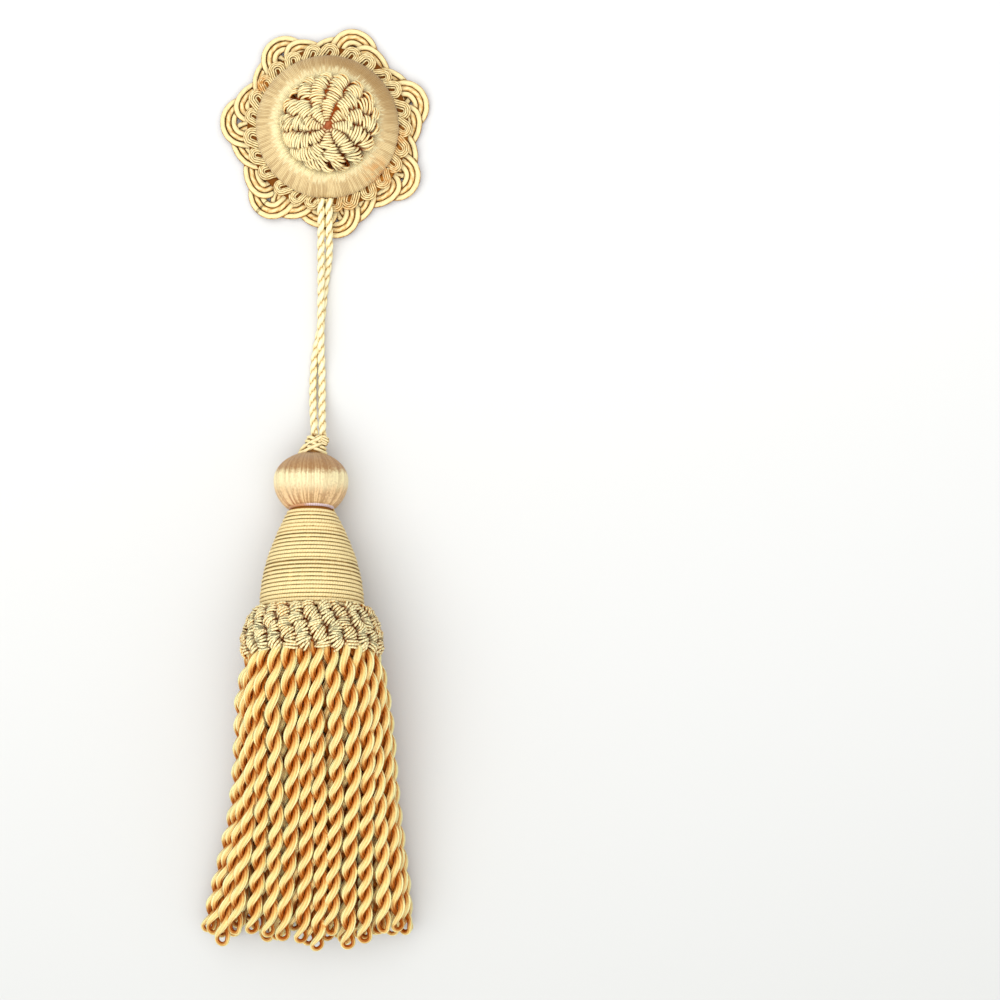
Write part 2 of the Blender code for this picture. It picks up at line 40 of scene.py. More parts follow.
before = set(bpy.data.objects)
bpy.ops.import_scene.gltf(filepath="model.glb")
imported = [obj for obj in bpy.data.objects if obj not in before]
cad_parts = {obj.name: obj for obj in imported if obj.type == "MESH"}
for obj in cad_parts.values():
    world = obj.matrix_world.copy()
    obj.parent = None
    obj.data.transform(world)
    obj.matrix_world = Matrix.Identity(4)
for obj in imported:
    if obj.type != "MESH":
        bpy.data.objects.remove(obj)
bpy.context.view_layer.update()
print("solids in the frame:", len(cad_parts))

# %% [markdown]
# ## The camera comes first
#
# The tassel lies on a white table and is seen from straight above. The lens is chosen so that a
# thousand pixels across cover 0.43 m of the table, which is the scale that the tassel was measured
# in. The tassel lies in the left half of the view, and the right half stays empty.

# %% Camera straight above the table
CAMERA_HEIGHT = 0.8
VIEW_WIDTH = 0.43
VIEW_CENTRE = (0.0744, -0.1578)

camera_data = bpy.data.cameras.new("camera")
camera_data.sensor_width = 36
camera_data.lens = camera_data.sensor_width * CAMERA_HEIGHT / VIEW_WIDTH
camera = bpy.data.objects.new("camera", camera_data)
camera.location = (*VIEW_CENTRE, CAMERA_HEIGHT)
bpy.context.scene.collection.objects.link(camera)
bpy.context.scene.camera = camera
print("lens, mm:", round(camera_data.lens, 1))

# %% [markdown]
# ## Lines, and threads laid along them
#
# A cord's path is drawn through a few points, and a smooth curve runs through them. A
# section could be swept along it with bridged loops, but a curve object with a round bevel does
# the same in one step and closes its ends. The mesh that it turns into also gets a UV map with U
# along the thread and V around it, which the fibres of the material follow.

# %% Smooth lines and the frame that travels along them
UP = Vector((0, 0, 1))
CURVE_STEPS = 20  # between two points of a route


def smooth_line(route, step, closed=False):
    """Points a step apart on a smooth curve through the route's own points."""
    points = [Vector(p) for p in route]
    if closed:
        ends = [points[-1], *points, points[0], points[1]]
    else:
        ends = [2 * points[0] - points[1], *points, 2 * points[-1] - points[-2]]
    fine = []
    for a, b, c, d in zip(ends, ends[1:], ends[2:], ends[3:]):
        for k in range(CURVE_STEPS):
            t = k / CURVE_STEPS
            fine.append(
                0.5 * (2 * b + (c - a) * t + (2 * a - 5 * b + 4 * c - d) * t**2
                       + (3 * b - a - 3 * c + d) * t**3)
            )
    fine.append(points[0] if closed else points[-1])
    lengths = [0.0]
    for a, b in zip(fine, fine[1:]):
        lengths.append(lengths[-1] + (b - a).length)
    count = max(2, round(lengths[-1] / step))
    line, k = [], 0
    for i in range(count + (0 if closed else 1)):
        wanted = lengths[-1] * i / count
        while k < len(fine) - 2 and lengths[k + 1] < wanted:
            k += 1
        part = (wanted - lengths[k]) / (lengths[k + 1] - lengths[k])
        line.append(fine[k].lerp(fine[k + 1], part))
    return line


def length_of(line):
    return sum((b - a).length for a, b in zip(line, line[1:]))


def directions(line, closed=False):
    """The direction of travel at each point of a line."""
    count = len(line)
    found = []
    for k in range(count):
        before = line[k - 1] if k or closed else line[0]
        after = line[(k + 1) % count] if k + 1 < count or closed else line[-1]
        found.append((after - before).normalized())
    return found


def sides_of(travel, up=UP):
    """The sideways and upward directions of something that travels this way."""
    side = up.cross(travel)
    side = side.normalized() if side.length > 1e-6 else Vector((1, 0, 0))
    return side, travel.cross(side)


bend = smooth_line([(0, 0, 0), (1, 0, 0), (1, 1, 0)], 0.05)
print("a smooth bend round a corner of 1 by 1 is", round(length_of(bend), 2), "long")

# %% [markdown]
# Wound and twisted threads hide one another's flanks, and painted shade darkens them down there.
# So each thread's mesh also carries numbers on its points: how deep a point lies on its thread's
# flank, from 0 on the outside to 1 on the hidden side, how far the thread itself has sunk between
# its neighbours, which also darkens it with painted shade, how far along the thread the point
# lies, in metres, and a tone that differs from one thread to the next. The nearest point of a
# thread's middle line knows all of them, and a tree of those points finds it quickly.

# %% Threads as meshes
class Strand:
    """One thread: the line of its middle and, at each point, the direction that faces out."""

    def __init__(self, line, outward, closed=False, tone=0.5, radii=None, sunk=None):
        self.line = line
        self.outward = outward
        self.closed = closed
        self.tone = tone
        self.radii = radii or [1.0] * len(line)
        self.sunk = sunk or [0.0] * len(line)


def curve_through(strands, radius, sides):
    """A curve object with a round section along each strand's line."""
    data = bpy.data.curves.new("threads", "CURVE")
    data.dimensions = "3D"
    data.bevel_depth = radius
    data.bevel_resolution = sides // 2 - 2
    data.use_fill_caps = True
    for strand in strands:
        spline = data.splines.new("POLY")
        spline.points.add(len(strand.line) - 1)
        for k, at in enumerate(strand.line):
            spline.points[k].co = (*at, 1)
            spline.points[k].radius = strand.radii[k]
        spline.use_cyclic_u = strand.closed
    return bpy.data.objects.new("threads", data)


def add_facts(mesh, **values):
    """Number attributes on the points of a mesh: one number for all, or one for each."""
    for name, value in values.items():
        layer = mesh.attributes.new(name, "FLOAT", "POINT")
        each = value if isinstance(value, list) else [value] * len(mesh.vertices)
        layer.data.foreach_set("value", each)
    return mesh


def threads(strands, radius, sides=8):
    """A mesh of tubes that knows how deep, how sunk and how far along each point lies."""
    obj = curve_through(strands, radius, sides)
    bpy.context.scene.collection.objects.link(obj)
    bpy.context.view_layer.update()
    mesh = bpy.data.meshes.new_from_object(obj.evaluated_get(bpy.context.evaluated_depsgraph_get()))
    bpy.data.objects.remove(obj, do_unlink=True)
    tree = KDTree(sum(len(strand.line) for strand in strands))
    facts = []
    for strand in strands:
        run = 0.0
        for k, (at, out) in enumerate(zip(strand.line, strand.outward)):
            run += (at - strand.line[k - 1]).length if k else 0.0
            tree.insert(at, len(facts))
            facts.append((at, out, radius * strand.radii[k], run, strand.tone, strand.sunk[k]))
    tree.balance()
    depths, sunks, runs, tones = [], [], [], []
    for vertex in mesh.vertices:
        at, out, reach, run, tone, sunk = facts[tree.find(vertex.co)[1]]
        height = (vertex.co - at).dot(out) / reach
        depths.append(min(1.0, max(0.0, (1 - height) / 2)))
        sunks.append(sunk)
        runs.append(run)
        tones.append(tone)
    return add_facts(mesh, depth=depths, sunk=sunks, run=runs, tone=tones)


print("a point of a thread knows its depth, sunk, run and tone")

# %% [markdown]
# A finished piece is one mesh, often a core in painted crevice shade and the threads over it. Once
# it lies in its place, each point also learns how upright its surface stands there, where a
# painted highlight lies along a thread's edges, and how much of the sky its neighbours hide from
# it, which the finish turns into browner painted shade. The renderer makes shadows there by
# itself, and the painted shade adds to them, so a few rays are cast from each point to measure it.

# %% Finished pieces
SLANTING_RAYS = 6  # besides the one straight up
RAY_SLOPE = 0.9  # how far a slanting ray rises for each step sideways
RAY_LENGTH = 0.006  # neighbours farther away than this hide nothing
RAY_START = 0.0002  # above the surface, so that a ray misses its own face


def joined(meshes):
    """One mesh of several, with their UV maps and attributes."""
    together = bmesh.new()
    for mesh in meshes:
        together.from_mesh(mesh)
    result = bpy.data.meshes.new("joined")
    together.to_mesh(result)
    together.free()
    return result


def buried(mesh):
    """For each point, the share of the sky above it that the same piece hides, from 0 to 1."""
    tree = BVHTree.FromPolygons(
        [vertex.co for vertex in mesh.vertices],
        [face.vertices for face in mesh.polygons],
    )
    rays = [UP]
    for k in range(SLANTING_RAYS):
        angle = 2 * math.pi * k / SLANTING_RAYS
        rays.append(Vector((math.cos(angle), math.sin(angle), RAY_SLOPE)).normalized())
    shares = []
    for vertex in mesh.vertices:
        start = vertex.co + vertex.normal * RAY_START
        hits = [tree.ray_cast(start, ray, RAY_LENGTH)[0] is not None for ray in rays]
        shares.append(sum(hits) / len(rays))
    return shares


def piece(name, mesh, material, slot, *nodes, laid_by=None):
    """Adds a finished piece, which rides on the one body and stands for its nodes.

    The table is at height 0, and threads that would sink into it are pressed flat.
    """
    if laid_by:
        mesh.transform(laid_by)
    for vertex in mesh.vertices:
        vertex.co.z = max(vertex.co.z, 0.0)
    # Upright points get the painted highlight of a thread's edges, and buried ones painted shade.
    upright = [1 - abs(vertex.normal.z) for vertex in mesh.vertices]
    add_facts(mesh, edge=upright, buried=buried(mesh))
    mesh.materials.clear()
    mesh.materials.append(material)
    for face in mesh.polygons:
        face.use_smooth = True
    mesh.name = name
    obj = bpy.data.objects.new(name, mesh)
    bpy.context.scene.collection.objects.link(obj)
    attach(obj, "root")
    if nodes:
        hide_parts(*nodes)
    triangles = sum(len(face.vertices) - 2 for face in mesh.polygons)
    print(f"{name}: {triangles} triangles")
    return obj


print("rays to the sky from each point:", 1 + SLANTING_RAYS)

# %% [markdown]
# ## Shader maths
#
# A material is a small program, so it reads best as one. One function adds any node, its settings
# first and then the values or links of its sockets. A class wraps an output socket, so that
# arithmetic on it adds the Math nodes.

# %% Nodes and values
def feed(tree, socket, value):
    """Links a wrapped output to a socket, or sets the socket to a plain value."""
    if isinstance(value, Value):
        tree.links.new(value.socket, socket)
    else:
        socket.default_value = value


def add_node(tree, kind, settings=(), inputs=(), output=0):
    """Adds a node and wraps one of its outputs."""
    node = tree.nodes.new(kind)
    for name, value in dict(settings).items():
        setattr(node, name, value)
    for name, value in dict(inputs).items():
        feed(tree, node.inputs[name], value)
    return Value(tree, node.outputs[output])


class Value:
    """An output socket that takes part in arithmetic."""

    def __init__(self, tree, socket):
        self.tree = tree
        self.socket = socket

    def maths(self, operation, *terms):
        return add_node(self.tree, "ShaderNodeMath", {"operation": operation}, enumerate(terms))

    def __add__(self, other):
        return self.maths("ADD", self, other)

    __radd__ = __add__

    def __sub__(self, other):
        return self.maths("SUBTRACT", self, other)

    def __rsub__(self, other):
        return self.maths("SUBTRACT", other, self)

    def __mul__(self, other):
        return self.maths("MULTIPLY", self, other)

    __rmul__ = __mul__

    def __pow__(self, other):
        return self.maths("POWER", self, other)

    def sine(self):
        return self.maths("SINE", self)

    def between(self, low, high):
        """0 below the low value, 1 above the high one."""
        ends = {"Value": self, "From Min": low, "From Max": high}
        return add_node(self.tree, "ShaderNodeMapRange", inputs=ends, output="Result")


print("shader values can be added, subtracted, multiplied and raised to a power")

# %% [markdown]
# A finish starts from the Principled shader. What is the same all over the surface, such as its
# gloss, is set on the shader's own sockets, and what changes is worked out from the piece's own
# coordinates and facts.

# %% Finishes
class Finish:
    """A material, with its Principled shader's fixed values set on its own sockets."""

    def __init__(self, name, **fixed):
        self.material = bpy.data.materials.new(name)
        self.material.use_nodes = True
        self.tree = self.material.node_tree
        self.shader = self.tree.nodes["Principled BSDF"]
        for socket, value in fixed.items():
            self.shader.inputs[socket.replace("_", " ")].default_value = value

    def node(self, kind, settings=(), inputs=(), output=0):
        return add_node(self.tree, kind, settings, inputs, output)

    def mix(self, share, first, second):
        """A colour between two."""
        return self.node("ShaderNodeMix", {"data_type": "RGBA"}, {0: share, 6: first, 7: second}, 2)

    def attribute(self, name):
        return self.node("ShaderNodeAttribute", {"attribute_name": name}, output="Fac")

    def place(self):
        return self.node("ShaderNodeTexCoord", output="Object")

    def numbers(self, vector):
        """The three numbers of a vector."""
        split = self.node("ShaderNodeSeparateXYZ", inputs={0: vector})
        return [Value(self.tree, output) for output in split.socket.node.outputs]

    def axes(self):
        """The three coordinates of a point of the object, in metres."""
        return self.numbers(self.place())

    def around(self):
        """The thread's own V, once round it."""
        return self.numbers(self.node("ShaderNodeUVMap", {"uv_map": "UVMap"}))[1]

    def grain(self, size, detail=2.0):
        """Noise from 0 to 1 whose lumps are about this size, in metres."""
        settings = {"Vector": self.place(), "Scale": 1 / size, "Detail": detail}
        return self.node("ShaderNodeTexNoise", inputs=settings, output="Fac")

    def near(self, point, reach):
        """1 at a point of the object, fading to 0 at this distance from it."""
        ends = {0: self.place(), 1: point}
        apart = self.node("ShaderNodeVectorMath", {"operation": "DISTANCE"}, ends, "Value")
        return 1 - apart.between(reach * 0.35, reach)

    def colour(self, value):
        feed(self.tree, self.shader.inputs["Base Color"], value)

    def raise_by(self, height, distance):
        """A bump that is this high, in metres, where the value is 1."""
        bump = self.node("ShaderNodeBump", inputs={"Height": height, "Distance": distance})
        feed(self.tree, self.shader.inputs["Normal"], bump)


def linear(red, green, blue):
    """A colour as the eye and a paint chart give it, 0 to 255, in linear light."""
    channels = []
    for value in (red, green, blue):
        share = value / 255
        channels.append(share / 12.92 if share <= 0.04045 else ((share + 0.055) / 1.055) ** 2.4)
    return (*channels, 1)


print("a middle grey of 128 is", round(linear(128, 128, 128)[0], 3), "in linear light")

# %% [markdown]
# ## What the threads are dyed and made of
#
# All of it is viscose: cream, tan or gold in itself, with painted shade that turns it brown in the
# grooves, and on the cords, the edging, the collar and the bullion a painted highlight that makes
# it pale at the upright edges. One function makes these finishes from five colours: the outside,
# the flank, the groove beside the next thread, the crevice between two knots, and the lit edge.
# The flank, groove and crevice are painted shade, and the lit edge a painted highlight. Points
# that their neighbours hide from the sky turn towards the crevice's colour too, as painted shade.
# The function also lays fine fibres along each thread, as bump and as a little colour. Gloss is
# kept low, or the grooves would look grey.

# %% How a thread takes its colours
def thread_finish(
    name,
    colours,
    lay,
    fibres=5,
    pitch=0.006,
    fibre_tone=0.07,
    speckle=0.25,
    lit=0.4,
    edges=(0.26, 0.50),
    raised=0.00018,
    spots=(),
):
    """Viscose thread: painted shade by depth and cover, a painted highlight on upright edges, tone
    from thread to thread, fibres, speckle and spots.
    """
    finish = Finish(name, Roughness=0.5, Specular_IOR_Level=0.04)
    outside, flank, groove, crevice, edge = colours
    tone = finish.attribute("tone")
    grain = finish.grain(0.0009)
    turns = finish.around() * fibres + finish.attribute("run") * (1 / pitch)
    twist = (turns * (2 * math.pi)).sine()
    loose = (grain - 0.5) * speckle + twist * fibre_tone + (tone - 0.5) * 0.16
    depth = finish.attribute("depth") + loose
    # Painted shade: towards the flank's colour where a thread turns away from the outside.
    shaded = finish.mix(depth.between(lay[0], lay[1]), outside, flank)
    # Painted highlight on a thread's upright edges, on its outer side.
    upright = (finish.attribute("edge") + loose * 0.5).between(edges[0], edges[1])
    shaded = finish.mix(upright * (1 - depth.between(0.24, 0.50)) * lit, shaded, edge)
    # Painted shade: the groove's colour deep on the flank.
    shaded = finish.mix(depth.between(lay[1], lay[2]), shaded, groove)
    # Painted shade: points hidden from the sky, and sunk threads, turn to the crevice's colour.
    hidden = (finish.attribute("buried") + loose * 0.5).between(0.25, 1.0) * 0.8
    shaded = finish.mix(hidden, shaded, crevice)
    shaded = finish.mix((finish.attribute("sunk") + loose).between(0.44, 1.0), shaded, crevice)
    for point, reach, tint, strength in spots:
        mask = finish.near(point, reach) * finish.grain(0.0018).between(0.3, 0.6) * strength
        shaded = finish.mix(mask, shaded, tint)
    finish.colour(shaded)
    finish.raise_by(twist * 0.5 + grain, raised)
    return finish.material


print("colours of a thread: outside, flank, groove, crevice and lit edge")

# %% [markdown]
# How deep the groove lies depends on the thread: wound turns touch at their flanks, while the
# plies of a cord touch on their inner side. So each finish also has three depths: the last with
# the outside's colour, the one with the flank's, and the first with the groove's. A few spots of
# glue, rust and lilac are tints round a point of the piece.

# %% The threads' finishes
GLUE = linear(222, 146, 54)
PALE_LILAC = linear(226, 206, 214)
RUST_SPOT = linear(180, 106, 68)
# Painted highlights for the upright edges of threads.
LIT_EDGE = linear(255, 242, 166)
RIM_HIGHLIGHT = linear(255, 250, 184)
bell_silk = thread_finish(
    "bell_gimp",
    (
        linear(248, 228, 170),
        linear(224, 186, 116),
        linear(158, 108, 42),
        linear(150, 96, 36),
        LIT_EDGE,
    ),
    (0.04, 0.27, 0.45),
    fibres=2,
    pitch=0.0011,
    lit=0.0,
    spots=((Vector((0.0108, -0.2020, 0.047)), 0.0028, GLUE, 0.9),),
)
braid_silk = thread_finish(
    "braid_gimp",
    (
        linear(250, 230, 172),
        linear(220, 172, 102),
        linear(136, 82, 26),
        linear(120, 70, 20),
        LIT_EDGE,
    ),
    (0.10, 0.26, 0.42),
    fibres=3,
    pitch=0.0042,
    fibre_tone=0.05,
    lit=0.0,
)
edging_silk = thread_finish(
    "edging_gimp",
    (
        linear(252, 234, 178),
        linear(226, 184, 112),
        linear(142, 82, 26),
        linear(126, 72, 22),
        LIT_EDGE,
    ),
    (0.06, 0.28, 0.48),
    fibres=3,
    pitch=0.003,
    lit=0.2,
    spots=(
        (Vector((0.0240, -0.0185, 0.006)), 0.0110, GLUE, 0.6),
        (Vector((0.0300, -0.0040, 0.006)), 0.0080, GLUE, 0.6),
        (Vector((-0.0275, 0.0195, 0.006)), 0.0055, GLUE, 0.8),
        (Vector((0.0080, -0.0310, 0.006)), 0.0070, GLUE, 0.45),
    ),
)
cord_silk = thread_finish(
    "cord_silk",
    (
        linear(255, 247, 208),
        linear(240, 214, 154),
        linear(146, 94, 38),
        linear(150, 100, 46),
        LIT_EDGE,
    ),
    (0.12, 0.40, 0.62),
    fibres=5,
    pitch=0.007,
)
ruff_thread = thread_finish(
    "ruff_thread",
    (
        linear(255, 244, 190),
        linear(255, 212, 134),
        linear(236, 148, 62),
        linear(168, 82, 16),
        LIT_EDGE,
    ),
    (0.16, 0.46, 0.76),
    fibres=1,
    pitch=0.0013,
    fibre_tone=0.14,
    speckle=0.4,
    lit=0.0,
    raised=0.0004,
    spots=((Vector((-0.0338, -0.2235, 0.040)), 0.0045, PALE_LILAC, 0.9),),
)
button_thread = thread_finish(
    "button_thread",
    (
        linear(255, 242, 186),
        linear(250, 198, 120),
        linear(214, 130, 48),
        linear(136, 58, 8),
        LIT_EDGE,
    ),
    (0.12, 0.44, 0.72),
    fibres=4,
    pitch=0.005,
    fibre_tone=0.12,
    lit=0.0,
    spots=((Vector((0.0023, -0.0018, 0.0222)), 0.0034, RUST_SPOT, 1.0),),
)
collar_silk = thread_finish(
    "collar_silk",
    (
        linear(254, 236, 186),
        linear(230, 194, 130),
        linear(194, 146, 82),
        linear(184, 130, 66),
        LIT_EDGE,
    ),
    (0.14, 0.40, 0.66),
    fibres=3,
    pitch=0.004,
)
bullion = thread_finish(
    "bullion",
    (
        linear(254, 226, 152),
        linear(242, 191, 110),
        linear(176, 84, 12),
        linear(196, 108, 32),
        RIM_HIGHLIGHT,
    ),
    (0.03, 0.34, 0.84),
    fibres=9,
    pitch=0.012,
    fibre_tone=0.10,
    speckle=0.2,
    lit=1.0,
    edges=(0.18, 0.42),
    raised=0.0003,
)
finishes = (
    bell_silk,
    braid_silk,
    edging_silk,
    cord_silk,
    collar_silk,
    ruff_thread,
    button_thread,
    bullion,
)
print("finishes:", *(finish.name for finish in finishes))

# %% [markdown]
# ## The hanging cords
#
# Each cord is two plies twisted together, about 3 mm thick. The routes are those of the solid
# model: out from under the rosette's ring, down onto the table, the left one in a long low hump
# over the right one, and up into the tassel's collar. The plies are two lines that wind round
# each route, so the twist is real geometry. They are pressed well into each other, as hard
# twisted plies are, which leaves a section of 3.4 by 2.4 mm.

# %% The two cords' routes
CORD_DIAMETER = 0.0030
CORD_PITCH = 0.0098
CORD_PLIES = 2
PLY_SHARE = 0.40  # a ply's radius, as a share of the cord's thickness
CORD_SHARE = 0.56  # how far a ply reaches out from the cord's middle, likewise
CORD_LEFT_ROUTE = (
    (-0.0017, -0.0299, 0.0089),
    (-0.0017, -0.0340, 0.0089),
    (-0.0018, -0.0380, 0.0081),
    (-0.0018, -0.0420, 0.0071),
    (-0.0019, -0.0460, 0.0067),
    (-0.0020, -0.0520, 0.0060),
    (-0.0020, -0.0590, 0.0055),
    (-0.0020, -0.0660, 0.0052),
    (-0.0021, -0.0740, 0.0051),
    (-0.0021, -0.0820, 0.0051),
    (-0.0021, -0.0880, 0.0050),
    (-0.0021, -0.0940, 0.0044),
    (-0.0020, -0.1000, 0.0031),
    (-0.0019, -0.1055, 0.0022),
    (-0.0018, -0.1115, 0.0028),
    (-0.0016, -0.1180, 0.0051),
    (-0.0012, -0.1245, 0.0081),
    (-0.0008, -0.1304, 0.0110),
)
CORD_RIGHT_ROUTE = (
    (0.0017, -0.0299, 0.0089),
    (0.0017, -0.0340, 0.0089),
    (0.0017, -0.0380, 0.0081),
    (0.0016, -0.0420, 0.0071),
    (0.0016, -0.0460, 0.0066),
    (0.0015, -0.0500, 0.0052),
    (0.0011, -0.0545, 0.0034),
    (0.0003, -0.0595, 0.0020),
    (-0.0006, -0.0650, 0.0016),
    (-0.0013, -0.0720, 0.0016),
    (-0.0021, -0.0800, 0.0016),
    (-0.0032, -0.0870, 0.0016),
    (-0.0044, -0.0930, 0.0016),
    (-0.0053, -0.0990, 0.0016),
    (-0.0057, -0.1050, 0.0017),
    (-0.0058, -0.1110, 0.0026),
    (-0.0055, -0.1175, 0.0049),
    (-0.0049, -0.1240, 0.0080),
    (-0.0042, -0.1304, 0.0110),
)


def plies(line, count, reach, pitch, phase=0.0, tone=0.5):
    """Lines that wind round a line, right-handed, with the direction away from its middle."""
    travel = directions(line)
    wound = []
    for n in range(count):
        points, outward = [], []
        travelled = 0.0
        for k, at in enumerate(line):
            travelled += (at - line[k - 1]).length if k else 0.0
            side, up = sides_of(travel[k])
            turn = 2 * math.pi * (travelled / pitch + n / count) + phase
            out = side * math.cos(turn) + up * math.sin(turn)
            points.append(at + out * reach)
            outward.append(out)
        wound.append(Strand(points, outward, tone=tone))
    return wound


def hanging_cord(name, route):
    line = smooth_line(route, 0.0006)
    ply_radius = CORD_DIAMETER * PLY_SHARE
    reach = CORD_DIAMETER * CORD_SHARE - ply_radius
    mesh = threads(plies(line, CORD_PLIES, reach, CORD_PITCH), ply_radius)
    cord = piece(name, mesh, cord_silk, "plied_cord", name.replace("_twisted", ""))
    length_of(line)
    print(f"{name}: {length_of(line) / MM:.0f} mm long")


hanging_cord("hanging_cord_left_twisted", CORD_LEFT_ROUTE)
hanging_cord("hanging_cord_right_twisted", CORD_RIGHT_ROUTE)

# %% [markdown]
# ## The tassel's own axis
#
# The tassel lies on its ball and its ruff, so its axis dips towards the ball. Pieces that are
# turned or wound about it are made upright first, with height measured from the ruff's middle
# towards the ball, and one matrix then lays each finished mesh down.

# %% Laying an upright mesh along the tassel's axis
RUFF_CENTRE = Vector((-0.0036, -0.2108, 0.0277))
BALL_CENTRE = Vector((-0.0053, -0.1498, 0.0151))
AXIS = BALL_CENTRE - RUFF_CENTRE
LAID = Matrix.Translation(RUFF_CENTRE) @ UP.rotation_difference(AXIS).to_matrix().to_4x4()
print("axis dips by", round(math.degrees(math.asin(-AXIS.normalized().z)), 1), "degrees")


def turned(profile, steps, closed=False):
    """A mesh spun about Z from (radius, height) points that run down its outer side."""
    shape = bmesh.new()
    points = [shape.verts.new((radius, 0, height)) for radius, height in profile]
    pairs = list(zip(points, points[1:] + points[:1] if closed else points[1:]))
    edges = [shape.edges.new(pair) for pair in pairs]
    bmesh.ops.spin(
        shape,
        geom=points + edges,
        axis=(0, 0, 1),
        cent=(0, 0, 0),
        steps=steps,
        angle=2 * math.pi,
        use_merge=True,
        use_duplicate=False,
    )
    bmesh.ops.remove_doubles(shape, verts=shape.verts, dist=1e-6)
    bmesh.ops.recalc_face_normals(shape, faces=shape.faces)
    mesh = bpy.data.meshes.new("turned")
    shape.to_mesh(mesh)
    shape.free()
    return mesh


def wind_threads(mesh, count, height, centre=(0.0, 0.0), seed=1, frayed=0.0, frayed_from=None):
    """Raises threads that run down a turned mesh, each to its own height and with its own tone.

    Inside the radius that they are frayed from, they rise by up to the frayed height more.
    """
    chance = random.Random(seed)
    tones = [chance.random() for _ in range(count)]
    lifts = [chance.uniform(0.6, 1.0) for _ in range(count)]
    depths, each_tone = [], []
    normals = [vertex.normal.copy() for vertex in mesh.vertices]
    for vertex, normal in zip(mesh.vertices, normals):
        radius = math.hypot(vertex.co.x, vertex.co.y)
        turn = math.atan2(vertex.co.y, vertex.co.x) / (2 * math.pi) % 1 * count
        which = int(turn) % count
        ridge = math.sin(math.pi * (turn % 1)) ** 0.7 if radius > 1e-6 else 0.0
        lift = height * ridge * lifts[which]
        if frayed_from and radius < frayed_from:
            lift += frayed * ridge * tones[which] * min(1.0, (frayed_from - radius) / 0.003)
        vertex.co += normal * lift
        vertex.co += Vector((*centre, 0))
        depths.append(1 - ridge * (0.55 + 0.45 * lifts[which]))
        each_tone.append(tones[which])
    return add_facts(mesh, depth=depths, tone=each_tone)


# %% [markdown]
# ## The satin ring
#
# The ring is a mould covered with fine glossy thread that runs over it from the middle outwards.
# A bump would do from above, but its outline shows the threads, so each thread is a real ridge:
# the mould is spun with four rows of points to a thread, and the rows between are raised. At the
# inner edge the threads fray, so they stand up and catch more light. Each thread turns from tan
# to cream at its own place, which gives the soft jagged border; the cream is partly the frayed
# thread and partly a painted highlight along the inner crest. The outer slope that faces away
# from the panel, the grooves between threads and a few single threads carry painted shade.

# %% Satin finish and the ring
ROWS_PER_THREAD = 4  # of points, on every piece whose threads are raised
RING_CENTRE = (0.0009, 0.0011)
RING_THREADS = 260
CREAM_SATIN = linear(252, 240, 188)
TAN_SATIN = linear(229, 204, 148)
SHADED_SATIN = linear(164, 127, 72)


def satin_finish(name, roughness=0.4):
    sheen = {"Sheen_Weight": 0.3, "Sheen_Roughness": 0.4}
    return Finish(name, Roughness=roughness, Specular_IOR_Level=0.6, **sheen)


def streaks(finish):
    """Painted shade on single threads, chosen at random, for part of their way."""
    return (finish.attribute("tone") * 0.75 + finish.grain(0.0035) * 0.6).between(0.55, 0.85)


def ring_satin():
    """Tan thread, cream at the inner edge where it frays and where a painted highlight lies along
    the crest, with painted shade on the outer slope that faces away from the panel.
    """
    finish = satin_finish("ring_satin", 0.5)
    across, along, _ = finish.axes()
    across = across - RING_CENTRE[0]
    along = along - RING_CENTRE[1]
    radius = (across * across + along * along) ** 0.5
    tone = finish.attribute("tone")
    # Cream at the inner edge: frayed thread, and a painted highlight along the crest.
    frayed = 1 - (radius - tone * 0.0036).between(0.0210, 0.0226)
    # Painted shade on the outer slope that faces away from the panel.
    painted_shade_slope = ((across * 0.6 + along * 0.9) * (1 / 0.028)).between(0.30, 1.0)
    painted_shade_slope = painted_shade_slope * radius.between(0.0215, 0.0265)
    body = finish.mix(painted_shade_slope * 0.85, TAN_SATIN, SHADED_SATIN)
    body = finish.mix(frayed, body, CREAM_SATIN)
    # Painted shade in the grooves between threads and on single threads.
    shade = finish.attribute("depth").between(0.1, 1.0) * 0.5 + streaks(finish) * 0.4
    shaded = finish.mix(shade * (1 - frayed * 0.5), body, SHADED_SATIN)
    glue = finish.near(Vector((0.0225, -0.0190, 0.008)), 0.009)
    glue = glue * finish.grain(0.002).between(0.4, 0.6)
    finish.colour(finish.mix(glue * 0.5, shaded, GLUE))
    return finish.material


RING_SECTION = (
    # radius, height
    (0.0167, 0.0092),
    (0.0187, 0.0115),
    (0.0222, 0.0126),
    (0.0255, 0.0119),
    (0.0284, 0.0104),
    (0.0302, 0.0084),
    (0.0296, 0.0066),
    (0.0280, 0.0049),
    (0.0167, 0.0049),
)
section = smooth_line([(radius, height, 0) for radius, height in RING_SECTION], 0.0012, closed=True)
ring_mesh = turned([(p.x, p.y) for p in section], ROWS_PER_THREAD * RING_THREADS, closed=True)
fraying = {"frayed": 0.0008, "frayed_from": 0.0228}
wind_threads(ring_mesh, RING_THREADS, 0.00032, RING_CENTRE, seed=3, **fraying)
piece("satin_ring", ring_mesh, ring_satin(), "satin_thread", "rosette_ring")

# %% [markdown]
# ## The ball
#
# The ball's threads run from the collar down to the neck, and their fine ridges spread the gloss
# sideways into one level band. A painted highlight lays a cream band across the middle as well,
# the silk below it is a little darker, and painted shade darkens it near the collar, over the
# mould's shoulder. Rust-coloured glue has crept up between a few threads at the neck.

# %% Ball
BALL_RADIUS = 0.0155
BALL_HALF_HEIGHT = 0.0119
BALL_LOWER_HEIGHT = 0.0149
NECK_TOP = 0.0526
NECK_OVERLAP = 0.0016
COLLAR_BOTTOM = 0.0738
BALL_ROWS = 34
BALL_THREADS = 150


